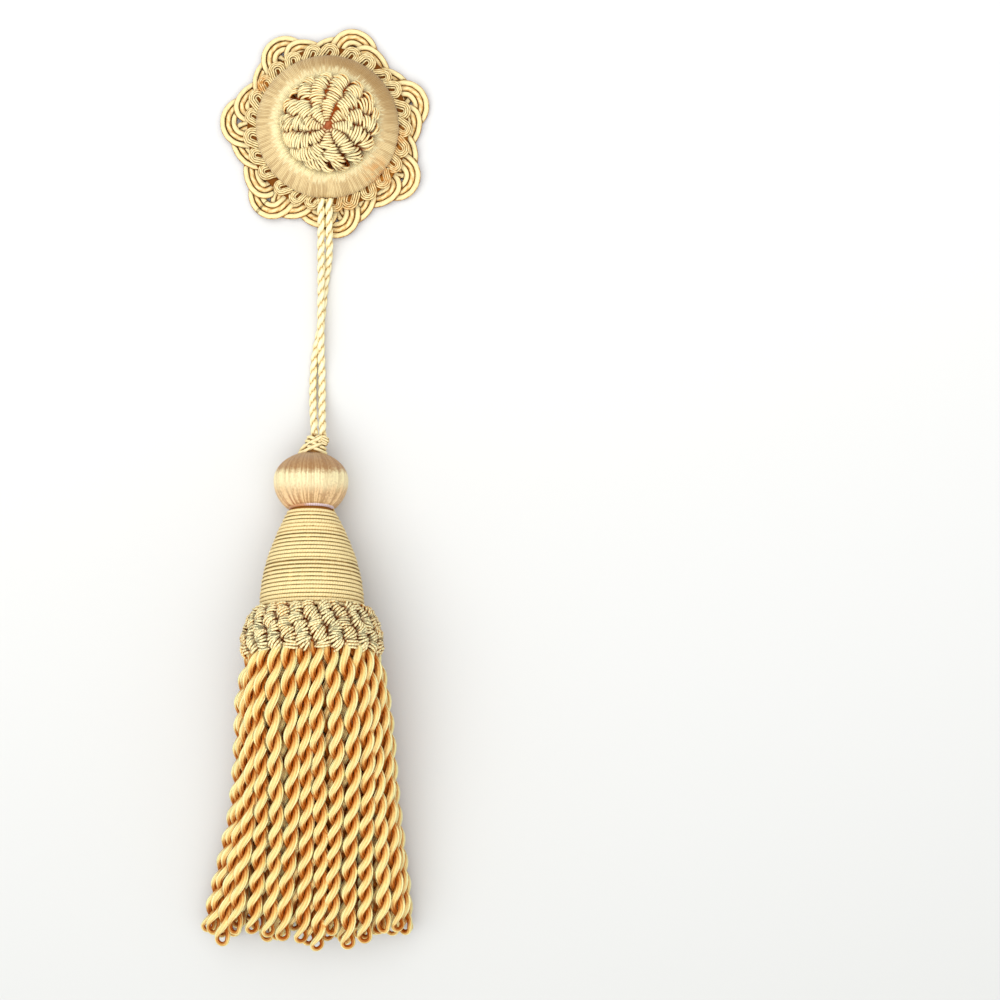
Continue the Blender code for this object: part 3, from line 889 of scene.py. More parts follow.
def ball_satin():
    finish = satin_finish("ball_satin", 0.3)
    tone = finish.attribute("tone")
    _, along, _ = finish.axes()
    grain = finish.grain(0.0009, detail=3.0)
    ragged = along + (tone - 0.5) * 0.0007 + (grain - 0.5) * 0.0018
    # Painted shade on the shoulder by the collar, and a painted highlight band across the middle,
    # with the silk below it a little darker.
    shoulder_shade = ragged.between(-0.1468, -0.1442)
    below_highlight = 1 - (ragged + (tone - 0.5) * 0.0024).between(-0.1545, -0.1505)
    body = finish.mix(below_highlight * 0.8, CREAM_SATIN, linear(234, 194, 140))
    body = finish.mix(shoulder_shade, body, linear(186, 147, 98))
    # Painted shade in the grooves and on single threads, strongest off the highlight band.
    streak = (tone * 0.6 + grain).between(0.65, 0.95) * (0.25 + below_highlight * 0.35 + shoulder_shade * 0.4)
    shade = finish.attribute("depth").between(0.1, 1.0) * 0.45 + streak
    shaded = finish.mix(shade, body, linear(158, 112, 60))
    glue = finish.near(Vector((-0.0095, -0.1600, 0.0215)), 0.0085)
    glue = glue * (tone + finish.grain(0.0012)).between(0.85, 1.15)
    finish.colour(finish.mix(glue * 0.9, shaded, linear(170, 86, 26)))
    return finish.material


def ball_profile():
    """The ball's half outline from the collar down; its lower half is the fuller one."""
    middle = AXIS.length
    start = math.asin((COLLAR_BOTTOM - middle) / BALL_HALF_HEIGHT)
    end = math.asin((NECK_TOP - NECK_OVERLAP - middle) / BALL_LOWER_HEIGHT)
    profile = [(0.0, COLLAR_BOTTOM)]
    for k in range(BALL_ROWS + 1):
        angle = start + (end - start) * k / BALL_ROWS
        half_height = BALL_HALF_HEIGHT if angle > 0 else BALL_LOWER_HEIGHT
        profile.append((BALL_RADIUS * math.cos(angle), middle + half_height * math.sin(angle)))
    return [*profile, (0.0, NECK_TOP - NECK_OVERLAP)]


ball_mesh = turned(ball_profile(), ROWS_PER_THREAD * BALL_THREADS)
wind_threads(ball_mesh, BALL_THREADS, 0.00026, seed=5)
piece("satin_ball", ball_mesh, ball_satin(), "satin_thread", "tassel_ball", laid_by=LAID)

# %% [markdown]
# ## The neck disc
#
# A thin disc between ball and bell, wound in thread that is lilac on one side and brown with glue
# on the other. Only a sliver of it shows.

# %% Neck disc
HEAD_TOP = 0.0501
NECK_RADIUS = 0.0097
NECK_ROUNDING = 0.0006
NECK_THREADS = 60


def neck_satin():
    finish = satin_finish("neck_satin")
    across, _, _ = finish.axes()
    side = (across + (finish.grain(0.003) - 0.5) * 0.006).between(-0.0085, -0.0035)
    body = finish.mix(side, linear(206, 150, 100), linear(224, 206, 212))
    # Painted shade in the grooves between threads.
    shade = finish.attribute("depth").between(0.2, 1.0) * 0.5
    finish.colour(finish.mix(shade, body, linear(178, 130, 96)))
    return finish.material


neck_profile = [
    (0.0, NECK_TOP),
    (NECK_RADIUS - NECK_ROUNDING, NECK_TOP),
    (NECK_RADIUS, (NECK_TOP + HEAD_TOP) / 2),
    (NECK_RADIUS - NECK_ROUNDING, HEAD_TOP),
    (0.0, HEAD_TOP),
]
neck_mesh = turned(neck_profile, ROWS_PER_THREAD * NECK_THREADS)
wind_threads(neck_mesh, NECK_THREADS, 0.00015, seed=7)
piece("lilac_disc", neck_mesh, neck_satin(), "lilac_thread", "neck_disc", laid_by=LAID)

# %% [markdown]
# ## The bell, wound in gimp
#
# The mould is covered by one long gimp cord in close turns, from the neck down to the ruff. A
# single helix follows the bell's outline, with 24 turns that show and one more that hides under
# the ruff. A plain turned bell in the crevice's painted shade closes the small gaps between them.

# %% Bell
HEAD_BOTTOM = 0.0087
HEAD_TOP_RADIUS = 0.0098
HEAD_BOTTOM_RADIUS = 0.0218
HEAD_TURNS = 24
HIDDEN_TURNS = 1
GIMP_RADIUS = 0.00095
POINTS_PER_TURN = 72
FIRST_TURN = 0.0009  # below the bell's top
LAST_TURN = 0.0008  # above its lower edge
BELL_ROWS = 24
UNEVEN = 0.00008
UNEVEN_POINTS = 23  # that lie equally far out, before the next few


def bell_radius(share):
    """The bell's radius at a share of the way down."""
    bell = math.sin(math.pi / 2 * share**0.93)
    return HEAD_TOP_RADIUS + (HEAD_BOTTOM_RADIUS - HEAD_TOP_RADIUS) * bell


def bell_winding():
    chance = random.Random(2)
    wander = [chance.uniform(-1, 1) for _ in range(40)]
    line, outward = [], []
    for k in range((HEAD_TURNS + HIDDEN_TURNS) * POINTS_PER_TURN + 1):
        share = k / (HEAD_TURNS * POINTS_PER_TURN)
        turn = 2 * math.pi * HEAD_TURNS * share
        out = Vector((math.cos(turn), math.sin(turn), 0))
        reach = bell_radius(min(share, 1)) - GIMP_RADIUS
        uneven = wander[k // UNEVEN_POINTS % len(wander)] * UNEVEN
        height = HEAD_TOP - FIRST_TURN + (HEAD_BOTTOM + LAST_TURN - HEAD_TOP) * share
        line.append(out * (reach + uneven) + UP * height)
        outward.append(out)
    return Strand(line, outward, tone=0.4)


def core_in_painted_shade(profile, steps, closed=False):
    """A turned mould in the threads' painted crevice shade, as the deepest part of its threads."""
    return add_facts(turned(profile, steps, closed), depth=1.0, sunk=1.0, run=0.0, tone=0.5)


core_profile = [(0.0, HEAD_TOP)]
for k in range(BELL_ROWS + 1):
    height = HEAD_TOP + (HEAD_BOTTOM - HEAD_TOP) * k / BELL_ROWS
    core_profile.append((bell_radius(k / BELL_ROWS) - 1.4 * GIMP_RADIUS, height))
core_profile.append((0.0, HEAD_BOTTOM))
bell_mesh = joined([core_in_painted_shade(core_profile, 48), threads([bell_winding()], GIMP_RADIUS)])
piece("wound_bell", bell_mesh, bell_silk, "wound_gimp", "tassel_head", laid_by=LAID)

# %% [markdown]
# ## Wrapped knots
#
# The ruff and the button are covered in knots: thread wrapped round and round itself, so that it
# looks like a small barrel, and in the ruff like a whole column of barrels. A lumpy surface with a
# striped bump would be lighter, but the wraps make the serrated outline too, so each column is a
# coil. It follows a short line and swells and narrows as it goes.

# %% Coils of thread
WRAP_POINTS = 10
WRAP_LEAN = 0.16
WRAP_SIZES = (0.90, 1.08)
KNOT_INSET = 0.0019  # of a coil's middle, under the surface that it covers


def coil(line, out, widths, thick, pitch, chance, slant=0.0):
    """Thread wrapped round a line; the slant leans the wraps over to one side."""
    wraps = max(2, round(length_of(line) / pitch))
    travel = directions(line)
    uneven = []
    for _ in range(wraps + 1):
        uneven.append((chance.uniform(-WRAP_LEAN, WRAP_LEAN), chance.uniform(*WRAP_SIZES)))
    points, outward, sunk = [], [], []
    for k in range(wraps * WRAP_POINTS + 1):
        share = k / (wraps * WRAP_POINTS) * (len(line) - 1)
        low = min(int(share), len(line) - 2)
        part = share - low
        facing = out[low].lerp(out[low + 1], part)
        side = facing.cross(travel[low]).normalized()
        lean, size = uneven[k // WRAP_POINTS]
        width = widths[low] + (widths[low + 1] - widths[low]) * part
        fullness = width / max(widths)
        turn = 2 * math.pi * k / WRAP_POINTS - math.pi / 2
        across = math.cos(turn) * width / 2 * size
        rise = math.sin(turn) * thick / 2 * (0.5 + 0.5 * fullness) * size
        middle = line[low].lerp(line[low + 1], part)
        leaning = travel[low] * (slant + lean) * across
        points.append(middle + side * across + facing * rise + leaning)
        outward.append((side * math.cos(turn) * 0.6 + facing * (math.sin(turn) + 0.3)).normalized())
        # Painted shade: each wrap darkens away from its top, and more where the coil is thin.
        sunk.append(1.05 - max(0.0, math.sin(turn)) * (0.30 + 0.75 * fullness))
    return Strand(points, outward, tone=chance.random(), sunk=sunk)


print("points on each wrap of a coil:", WRAP_POINTS)

# %% [markdown]
# ## The knotted ruff
#
# The ruff hides the joint of bell and skirt. Its columns lean to the right on their way down and
# swell about four times each, and no two are quite alike. Under them a plain turned core in the
# crevices' painted shade closes the gaps.

# %% Ruff
RUFF_SECTION = (
    # height, radius
    (-0.0114, 0.0280),
    (-0.0090, 0.0290),
    (-0.0045, 0.0288),
    (0.0005, 0.0276),
    (0.0044, 0.0258),
    (0.0070, 0.0238),
    (0.0084, 0.0216),
)
RUFF_COLUMNS = 27
RUFF_KNOTS = 4.2
RUFF_LEAN = math.radians(14)
RUFF_THREAD = 0.00054
RUFF_PITCH = 0.00104
RUFF_THICK = 0.0048
COLUMN_POINTS = 40
COLUMN_BEND = 0.12  # of a column's width, to either side
COLUMN_WAVE = 0.026  # radians, by which the knots stand left and right in turn


def ruff_radius(height):
    for (low, low_radius), (high, high_radius) in zip(RUFF_SECTION, RUFF_SECTION[1:]):
        if height <= high:
            return low_radius + (high_radius - low_radius) * (height - low) / (high - low)
    return RUFF_SECTION[-1][1]


def ruff_columns():
    chance = random.Random(21)
    low, high = RUFF_SECTION[0][0] + 0.0004, RUFF_SECTION[-1][0] - 0.0018
    found = []
    for column in range(RUFF_COLUMNS):
        stagger = column % 2 * 0.5 + chance.uniform(-0.2, 0.2)
        bend = chance.uniform(-1, 1)
        line, out, widths = [], [], []
        for k in range(COLUMN_POINTS + 1):
            share = k / COLUMN_POINTS
            height = high + (low - high) * share
            radius = ruff_radius(height) - KNOT_INSET
            bent = COLUMN_BEND * bend * math.sin(math.pi * share)
            angle = 2 * math.pi * (column + bent) / RUFF_COLUMNS
            angle += RUFF_LEAN * (share - 0.5)
            angle += COLUMN_WAVE * math.sin(2 * math.pi * (RUFF_KNOTS / 2 * share + stagger))
            knot = abs(math.sin(math.pi * (RUFF_KNOTS * share + stagger)))
            slope = math.atan2(ruff_radius(height + 0.002) - ruff_radius(height - 0.002), 0.004)
            around = Vector((math.cos(angle), math.sin(angle), 0))
            facing = (around * math.cos(slope) - UP * math.sin(slope)).normalized()
            line.append(around * radius + UP * height)
            out.append(facing)
            widths.append(2 * math.pi * radius / RUFF_COLUMNS * (0.60 + 0.44 * knot**0.7))
        slant = chance.uniform(-0.3, 0.3)
        found.append(coil(line, out, widths, RUFF_THICK, RUFF_PITCH, chance, slant))
    return found


ruff_core = [(0.0, RUFF_SECTION[-3][0])]
ruff_core += [(radius - 0.0030, height) for height, radius in reversed(RUFF_SECTION[1:-2])]
ruff_core.append((0.0, RUFF_SECTION[1][0]))
ruff_mesh = joined([core_in_painted_shade(ruff_core, 52), threads(ruff_columns(), RUFF_THREAD, sides=6)])
piece("knotted_ruff_wraps", ruff_mesh, ruff_thread, "knotted_thread", "knotted_ruff", laid_by=LAID)

# %% [markdown]
# ## The button
#
# The button is a mould covered with the same knots, in four rings that widen from a bare spot.
# Each ring has three knots more than the one inside it, and all are turned a little the same way,
# like the scales of a cone. The mould is painted in the crevices' rust-brown shade and shows in
# the spot, which has a rust stain too, and in the crevices.

# %% Button
BUTTON_CENTRE = Vector((0.0028, 0.0018, 0))
BUTTON_RADIUS = 0.0203
BUTTON_EDGE = 0.0142
BUTTON_TOP = 0.0236
BUTTON_STEM = 0.0142
BUTTON_FOOT = 0.0130
SPOT_SHIFT = Vector((-0.0005, -0.0036, 0))
BUTTON_RINGS = (
    # angle from the top in degrees, knots, length in mm
    (17, 8, 8.2),
    (37, 11, 8.2),
    (57, 14, 8.0),
    (78, 17, 6.8),
)
BUTTON_TWIST = math.radians(26)
BUTTON_THREAD = 0.00056
BUTTON_PITCH = 0.00106
BUTTON_THICK = 0.0052
KNOT_STEPS = 12
CAP_SINK = 0.0010  # of the bare cap's top, under the knots
CAP_INSET = 0.0024  # of its widest line
CAP_FOOT_INSET = 0.0034
CAP_ROWS = 12


def on_dome(polar, angle):
    """A point of the dome and its outward direction; the rings shift towards the spot."""
    rise = BUTTON_TOP - BUTTON_EDGE
    flat = Vector((math.cos(angle), math.sin(angle), 0))
    at = flat * BUTTON_RADIUS * math.sin(polar) + UP * (BUTTON_EDGE + rise * math.cos(polar))
    out = (flat * math.sin(polar) / BUTTON_RADIUS + UP * math.cos(polar) / rise).normalized()
    return at + BUTTON_CENTRE + SPOT_SHIFT * max(0.0, math.cos(polar)) ** 1.5, out


def button_knot(polar, angle, length, count, size, chance):
    """One knot: a short coil that leans as the rings turn, and widens outwards like a petal."""
    lean = BUTTON_TWIST + chance.uniform(-0.18, 0.18)
    line, out, widths = [], [], []
    for k in range(KNOT_STEPS + 1):
        share = k / KNOT_STEPS
        tilt = max(0.05, polar + (share - 0.5) * length / BUTTON_RADIUS)
        at, facing = on_dome(tilt, angle - lean * (tilt - polar))
        line.append(at - facing * KNOT_INSET)
        out.append(facing)
        room = 2 * math.pi * BUTTON_RADIUS * math.sin(tilt) / count
        widths.append(room * size * (0.52 + 0.38 * (1 - (2 * share - 1) ** 4) ** 0.5))
    slant = chance.uniform(-0.1, 0.25)
    return coil(line, out, widths, BUTTON_THICK, BUTTON_PITCH, chance, slant)


def button_knots():
    chance = random.Random(12)
    found = []
    for ring, (polar, count, length) in enumerate(BUTTON_RINGS):
        for k in range(count):
            angle = 2 * math.pi * (k + 0.5 * (ring % 2) + chance.uniform(-0.07, 0.07)) / count
            tilt = math.radians(polar + chance.uniform(-3, 3))
            size = chance.uniform(0.98, 1.10)
            found.append(button_knot(tilt, angle, length * MM * size, count, size, chance))
    return found


cap_radius = BUTTON_RADIUS - CAP_INSET
cap_rise = BUTTON_TOP - BUTTON_EDGE - CAP_SINK
cap_profile = [(0.0, BUTTON_EDGE + cap_rise)]
for k in range(1, CAP_ROWS + 1):
    polar = math.pi / 2 * k / CAP_ROWS
    cap_profile.append((cap_radius * math.sin(polar), BUTTON_EDGE + cap_rise * math.cos(polar)))
cap_profile += [
    (BUTTON_RADIUS - CAP_FOOT_INSET, BUTTON_FOOT),
    (BUTTON_STEM, BUTTON_FOOT),
    (BUTTON_STEM, 0.0),
    (0.0, 0.0),
]
cap_mesh = core_in_painted_shade(cap_profile, 64)
cap_mesh.transform(Matrix.Translation(BUTTON_CENTRE))
button_mesh = joined([cap_mesh, threads(button_knots(), BUTTON_THREAD, sides=6)])
piece("knotted_button_wraps", button_mesh, button_thread, "knotted_thread", "rosette_button")

# %% [markdown]
# ## The plaited gimp flower
#
# Three flat leads, each of three gimp cords side by side, are plaited in a ring. The plait swings
# out seven times, which makes the flower's seven uneven lobes. Each lead's middle is a wave round
# the ring, drawn out at its arcs and steep where it crosses, and it rises over one lead and dips
# under the next in turn. One cord follows that line, and one runs on each side of it.

# %% Plaited braid
LOBE_ANGLES = (-129.7, -83.3, -32.2, 18.4, 71.6, 118.9, 172.6)
BRAID_RADIUS = 0.0308
BRAID_SCALLOP = 0.0035
BRAID_SWING = 0.0080
LEAD_THICK = 0.0023
LEAD_CROSSING = 0.45
LEAD_ROUNDING = 0.058
BRAID_CORD = 0.0012
BRAID_CORD_STEP = 0.00236  # between two cords of one lead
SAMPLES_PER_LOBE = 64


def angle_of_phase(phase):
    """The direction, in radians, that lies this many lobes from the first one."""
    stops = (*LOBE_ANGLES, LOBE_ANGLES[0] + 360)
    phase %= len(LOBE_ANGLES)
    k = min(int(phase), len(LOBE_ANGLES) - 1)
    return math.radians(stops[k] + (stops[k + 1] - stops[k]) * (phase - k))


def lead_line(lead):
    """The middle of one of the three leads, once round the ring."""
    line = []
    for k in range(len(LOBE_ANGLES) * SAMPLES_PER_LOBE):
        phase = k / SAMPLES_PER_LOBE
        turn = 2 * math.pi * (phase + lead / 3)
        radius = BRAID_RADIUS + BRAID_SCALLOP * math.cos(2 * math.pi * phase)
        radius += BRAID_SWING * math.cos(turn)
        angle = angle_of_phase(phase + LEAD_ROUNDING * math.sin(2 * turn))
        height = LEAD_THICK * (1 + LEAD_CROSSING * math.sin(2 * turn))
        line.append(Vector((radius * math.cos(angle), radius * math.sin(angle), height)))
    return line


def beside(line, offset):
    """A closed line that runs beside another one, level with it."""
    moved = []
    for at, travel in zip(line, directions(line, closed=True)):
        side, _ = sides_of(travel)
        moved.append(at + side * offset)
    return moved


braid_cords = []
for lead in range(3):
    for place in (-1, 0, 1):
        cord_line = beside(lead_line(lead), place * BRAID_CORD_STEP)
        tone = 0.25 if place else 1.1
        braid_cords.append(Strand(cord_line, [UP] * len(cord_line), closed=True, tone=tone))
piece("plaited_gimp", threads(braid_cords, BRAID_CORD), braid_silk, "plaited_gimp", "rosette_braid")

# %% [markdown]
# ## The looped edging
#
# Between the braid and the ring lies an edging of fine cords that come out from under the ring
# side by side, turn round an eyelet in painted shade and go back under it. Each of its 25 loops
# leans over to the right as it goes outwards, and no two are the same size. A loop is four cords
# that follow one another round the eyelet, the middle ones highest.

# %% Looped edging
LOOP_COUNT = 25
LOOP_EYE_RADIUS = 0.0324
LOOP_CORD = 0.00044
LOOP_PITCH = 0.00082
LOOP_BASE = 0.0049
LOOP_LEAN = math.radians(-25)
LOOP_LEG = 0.0046
LOOP_CORDS = 4
LOOP_EYELET = 0.00095  # from its middle to that of the innermost cord
LOOP_RISE = 0.00095  # of the middle cords over the footing
LOOP_OVERLAP = 0.0007  # how much higher a cord goes back than it came out


def loop_of_cords(angle, size, lean, tone):
    """The nested cords of one loop, from leg to leg."""
    radial = Vector((math.cos(angle), math.sin(angle), 0))
    eye = Vector((*RING_CENTRE, 0)) + radial * LOOP_EYE_RADIUS
    ahead = Matrix.Rotation(lean, 3, "Z") @ radial
    side = UP.cross(ahead)
    found = []
    for n in range(LOOP_CORDS):
        reach = (LOOP_EYELET + n * LOOP_PITCH) * size
        crest = LOOP_BASE + LOOP_CORD + LOOP_RISE * math.sin(math.pi * (n + 0.6) / 4.2)
        flat = []
        for k in range(5):
            flat.append(side * -reach - ahead * LOOP_LEG * (1 - k / 5))
        for k in range(11):
            turn = math.pi * k / 10
            flat.append(ahead * reach * 0.92 * math.sin(turn) - side * reach * math.cos(turn))
        for k in range(5):
            flat.append(side * reach - ahead * LOOP_LEG * (k + 1) / 5)
        line = []
        for k, spot in enumerate(flat):
            over = LOOP_OVERLAP * (k / (len(flat) - 1)) if n else 0.0
            line.append(eye + spot + UP * (crest + over))
        found.append(Strand(line, [UP] * len(line), tone=tone + 0.1 * n))
    return found


def edging():
    chance = random.Random(4)
    found = []
    for k in range(LOOP_COUNT):
        angle = 2 * math.pi * (k + chance.uniform(-0.14, 0.14)) / LOOP_COUNT
        lean = LOOP_LEAN + chance.uniform(-0.22, 0.22)
        found += loop_of_cords(angle, chance.uniform(0.88, 1.12), lean, chance.uniform(0.2, 0.6))
    return found


def edging_footing():
    """The flat strip that the loops are sewn to, in painted crevice shade, which shows in the
    eyelets.
    """
    inner, outer, low, high = 0.0285, 0.0345, LOOP_BASE, LOOP_BASE + 0.0004
    strip = core_in_painted_shade([(inner, high), (outer, high), (outer, low), (inner, low)], 120, closed=True)
    strip.transform(Matrix.Translation((*RING_CENTRE, 0)))
    return strip


edging_mesh = joined([edging_footing(), threads(edging(), LOOP_CORD, sides=6)])
piece("looped_edging_cords", edging_mesh, edging_silk, "looped_edging", "rosette_loops")

# %% [markdown]
# ## The collar
#
# Where the two cords enter the ball they are whipped with a cord that goes round in slanting
# turns, first one way, then the other way over itself, and then once more as at first. Its end
# is tied off in a small knot on the right.

# %% Collar
COLLAR_TOP = 0.0813
COLLAR_LOW = 0.0056
COLLAR_HIGH = 0.0034
WHIPPING = 0.00078


def whipping(turns, slope, sink, phase, tone):
    """Slanting turns up the cone; the slope leans each turn, in metres across its width."""
    line, outward = [], []
    for k in range(turns * 30 + 1):
        share = k / (turns * 30)
        turn = 2 * math.pi * turns * share + phase
        out = Vector((math.cos(turn), math.sin(turn), 0))
        height = COLLAR_BOTTOM + WHIPPING + (COLLAR_TOP - COLLAR_BOTTOM - 2 * WHIPPING) * share
        height += out.x * slope
        height = min(max(height, COLLAR_BOTTOM + WHIPPING / 3), COLLAR_TOP - WHIPPING / 2)
        rise = (height - COLLAR_BOTTOM) / (COLLAR_TOP - COLLAR_BOTTOM)
        reach = COLLAR_LOW + (COLLAR_HIGH - COLLAR_LOW) * rise - sink
        line.append(out * reach + UP * height + Vector((0.0008 + 0.0016 * rise, 0, 0)))
        outward.append(out)
    return Strand(line, outward, tone=tone)


# The collar's core is in the crevices' painted shade.
collar_core = core_in_painted_shade(
    [
        (0.0, COLLAR_TOP - 0.0008),
        (COLLAR_HIGH - 0.0008, COLLAR_TOP - 0.0008),
        (COLLAR_LOW - 0.0014, COLLAR_BOTTOM),
        (0.0, COLLAR_BOTTOM),
    ],
    24,
)
collar_core.transform(Matrix.Translation((0.0014, 0, 0)))
knot_widths = (0.0028, 0.0038, 0.0038, 0.0020)
knot_line = []
for k in range(len(knot_widths)):
    knot_line.append(Vector((0.0048 + 0.0006 * k, -0.0020, COLLAR_TOP - 0.0040 + 0.0011 * k)))
knot_out = [Vector((0.2, -1, 0)).normalized()] * len(knot_widths)
end_knot = coil(knot_line, knot_out, knot_widths, 0.0032, 0.0010, random.Random(1))
collar_threads = [
    # turns, slope, how far it lies inside the collar's outline, start, tone
    whipping(4, 0.0016, 0.0009, 0.0, 0.2),
    whipping(3, -0.0022, 0.0002, 1.2, 0.5),
    whipping(2, 0.0024, -0.0002, 2.6, 0.8),
]
collar_mesh = joined([collar_core, threads(collar_threads, WHIPPING), threads([end_knot], 0.00052)])
piece("whipped_collar", collar_mesh, collar_silk, "wound_gimp", "cord_collar", laid_by=LAID)

# %% [markdown]
# ## The bullion skirt
#
# Bullion is cord twisted so hard that it doubles back on itself: one thick thread goes down,
# turns round in a small loop at the end and winds back up round its own first half. So each
# strand here is a single line, two plies of a rope joined by a loop. The strands hang from the
# ruff in two rings, and lie on the table as the solid model's do: round at the root, then ever
# flatter and wider. About one in four is pushed back a little between its neighbours. Painted
# shade darkens the inner ring, the strands pushed back and the underside of each ply.

# %% Where the strands lie
SKIRT_LENGTH = 0.1205
SKIRT_ROOT = -0.0125
STRAND_WIDTH = 0.0060
RING_STEP = 0.0060
STRAND_RINGS = (28, 20)
ROOT_SINK = 0.0030  # of a strand's start, in under the ruff
ROOT_RISE = 0.0045  # of its start, up into the ruff
ROOT_BEND = 0.0006  # of its root, inwards, so that it comes out from under the ruff
MIDDLE_STEPS = 12
SKIRT_STATIONS = (
    # share of the length, half width, top, underside, crown, sideways shift
    (0.000, 0.0292, 0.0588, 0.0014, 0.0000, -0.0030),
    (0.145, 0.0326, 0.0560, 0.0000, 0.0000, -0.0033),
    (0.286, 0.0339, 0.0515, 0.0000, 0.0010, -0.0028),
    (0.420, 0.0350, 0.0465, 0.0000, 0.0020, -0.0030),
    (0.544, 0.0366, 0.0415, 0.0000, 0.0030, -0.0033),
    (0.700, 0.0400, 0.0355, 0.0000, 0.0040, -0.0045),
    (0.840, 0.0433, 0.0305, 0.0000, 0.0040, -0.0056),
    (1.000, 0.0464, 0.0265, 0.0000, 0.0040, -0.0075),
)


def station(share, column):
    """A column of the table, read between its rows."""
    for low, high in zip(SKIRT_STATIONS, SKIRT_STATIONS[1:]):
        if share <= high[0]:
            part = (share - low[0]) / (high[0] - low[0])
            return low[column] + (high[column] - low[column]) * part
    return SKIRT_STATIONS[-1][column]


def flattened_ring(share, half_width, half_height):
    """A point and its outward normal on a ring with level upper and lower runs and round ends."""
    run = 2 * (half_width - half_height)
    bend = math.pi * half_height
    quarter = bend / 2
    along = share * 2 * (run + bend)
    if along <= quarter or along >= 2 * (run + bend) - quarter:
        angle = (along if along <= quarter else along - 2 * (run + bend)) / half_height
        normal = Vector((math.cos(angle), 0, math.sin(angle)))
        return Vector((run / 2, 0, 0)) + normal * half_height, normal
    along -= quarter
    if along <= run:
        return Vector((run / 2 - along, 0, half_height)), UP
    along -= run
    if along <= bend:
        angle = math.pi / 2 + along / half_height
        normal = Vector((math.cos(angle), 0, math.sin(angle)))
        return Vector((-run / 2, 0, 0)) + normal * half_height, normal
    along -= bend
    return Vector((-run / 2 + along, 0, -half_height)), -UP


def strand_middle(ring, turn, length, wander, back):
    """The middle line of one strand of bullion, from its root to its end, and where it faces.

    A strand may be pushed back between its neighbours by a little.
    """
    axis = AXIS.normalized()
    root = RUFF_CENTRE + axis * SKIRT_ROOT
    tilt = -axis.z / axis.y
    line = []
    for k in range(MIDDLE_STEPS + 1):
        share = length * k / MIDDLE_STEPS
        row = [station(share, column) for column in range(1, len(SKIRT_STATIONS[0]))]
        half_width, top, under, crown, shift = row
        inset = STRAND_WIDTH / 2 + ring * RING_STEP + back
        half_height = max(0.001, (top - under - crown) / 2 - inset)
        spot, normal = flattened_ring(turn, half_width - inset, half_height)
        arch = 1 - (spot.x / half_width) ** 2
        lift = crown * arch * max(0.0, spot.z) / half_height
        upright = max(0.0, 1 - share / 0.25)
        sway = wander * math.sin(math.pi * share * 1.7) * (1 - 0.4 * share)
        across = normal.cross(Vector((0, 1, 0)))
        at = Vector((shift + spot.x, root.y - share * SKIRT_LENGTH + spot.z * tilt * upright, 0))
        at.z = (top - crown + under) / 2 + spot.z + lift
        at += across * sway
        at.z = max(at.z, STRAND_WIDTH / 2)
        if not k:
            line.append(at - normal * ROOT_SINK + axis * ROOT_RISE)
            at -= normal * ROOT_BEND
        line.append(at)
    return line, normal


print("strands in the two rings:", *STRAND_RINGS)

# %% [markdown]
# The two plies of a strand are the two halves of one thread. Near the end they part a little and
# join in a loop, which leaves the small eyelet that every bullion strand ends in. The twist is
# timed so that the loop lies nearly flat.

# %% Twisting the bullion
BULLION_PITCH = 0.0205
PLY_RADIUS = 0.00162
PLY_REACH = 0.00176
BULLION_STEP = 0.0016
EYE_LENGTH = 0.0085
EYE_REACH = 0.0023
EYE_THREAD = 0.62  # of the ply's thickness, where the thread turns round
EYE_POINTS = 10
SET_BACK = 0.0014
SET_BACK_CHANCE = 0.25
# Painted shade on the strands of the inner ring and on those pushed back:
SET_BACK_SHADE = 140  # for each metre
INNER_SHADE = 0.2


def bullion_strand(middle, facing, darker, chance):
    """One strand: a ply down, the loop and the ply up; painted shade darkens both under the strand.
    """
    line = smooth_line(middle, BULLION_STEP)
    total = length_of(line)
    pitch = BULLION_PITCH * chance.uniform(0.92, 1.10)
    phase = -2 * math.pi * total / pitch + chance.uniform(-0.6, 0.6)
    down, up = plies(line, 2, PLY_REACH, pitch, phase)
    run = 0.0
    for k, at in enumerate(line):
        run += (at - line[k - 1]).length if k else 0.0
        opening = max(0.0, 1 - (total - run) / EYE_LENGTH)
        spare = (EYE_REACH - PLY_REACH) * math.sin(math.pi / 2 * opening)
        for ply in (down, up):
            ply.line[k] += ply.outward[k] * spare
            ply.radii[k] = 1 - (1 - EYE_THREAD) * opening
            # Painted shade: the inner ring, set-back strands and each ply's underside.
            ply.sunk[k] = darker + 0.3 * (1 - ply.outward[k].dot(facing)) * (1 - opening)
    centre = (down.line[-1] + up.line[-1]) / 2
    spread = (down.line[-1] - up.line[-1]) / 2
    travel = directions(line)[-1]
    turn_line, turn_out = [], []
    for k in range(1, EYE_POINTS):
        angle = math.pi * k / EYE_POINTS
        turn_line.append(centre + spread * math.cos(angle) + travel * EYE_REACH * math.sin(angle))
        out = spread.normalized() * math.cos(angle) + travel * math.sin(angle)
        turn_out.append(out.normalized())
    whole = down.line + turn_line + up.line[::-1]
    for at in whole:
        at.z = max(at.z, PLY_RADIUS * 0.9)
    outward = down.outward + turn_out + up.outward[::-1]
    radii = down.radii + [EYE_THREAD] * len(turn_line) + up.radii[::-1]
    sunk = down.sunk + [darker] * len(turn_line) + up.sunk[::-1]
    return Strand(whole, outward, tone=chance.random(), radii=radii, sunk=sunk)


def skirt(ring):
    chance = random.Random(40 + ring)
    count = STRAND_RINGS[ring]
    found = []
    for k in range(count):
        length = 0.965 + chance.uniform(-0.04, 0.035)
        wander = chance.uniform(-0.0014, 0.0014)
        back = SET_BACK if chance.random() < SET_BACK_CHANCE else 0.0
        middle, facing = strand_middle(ring, (k + 0.25 + 0.5 * ring) / count, length, wander, back)
        darker = INNER_SHADE * ring + SET_BACK_SHADE * back
        found.append(bullion_strand(middle, facing, darker, chance))
    return found


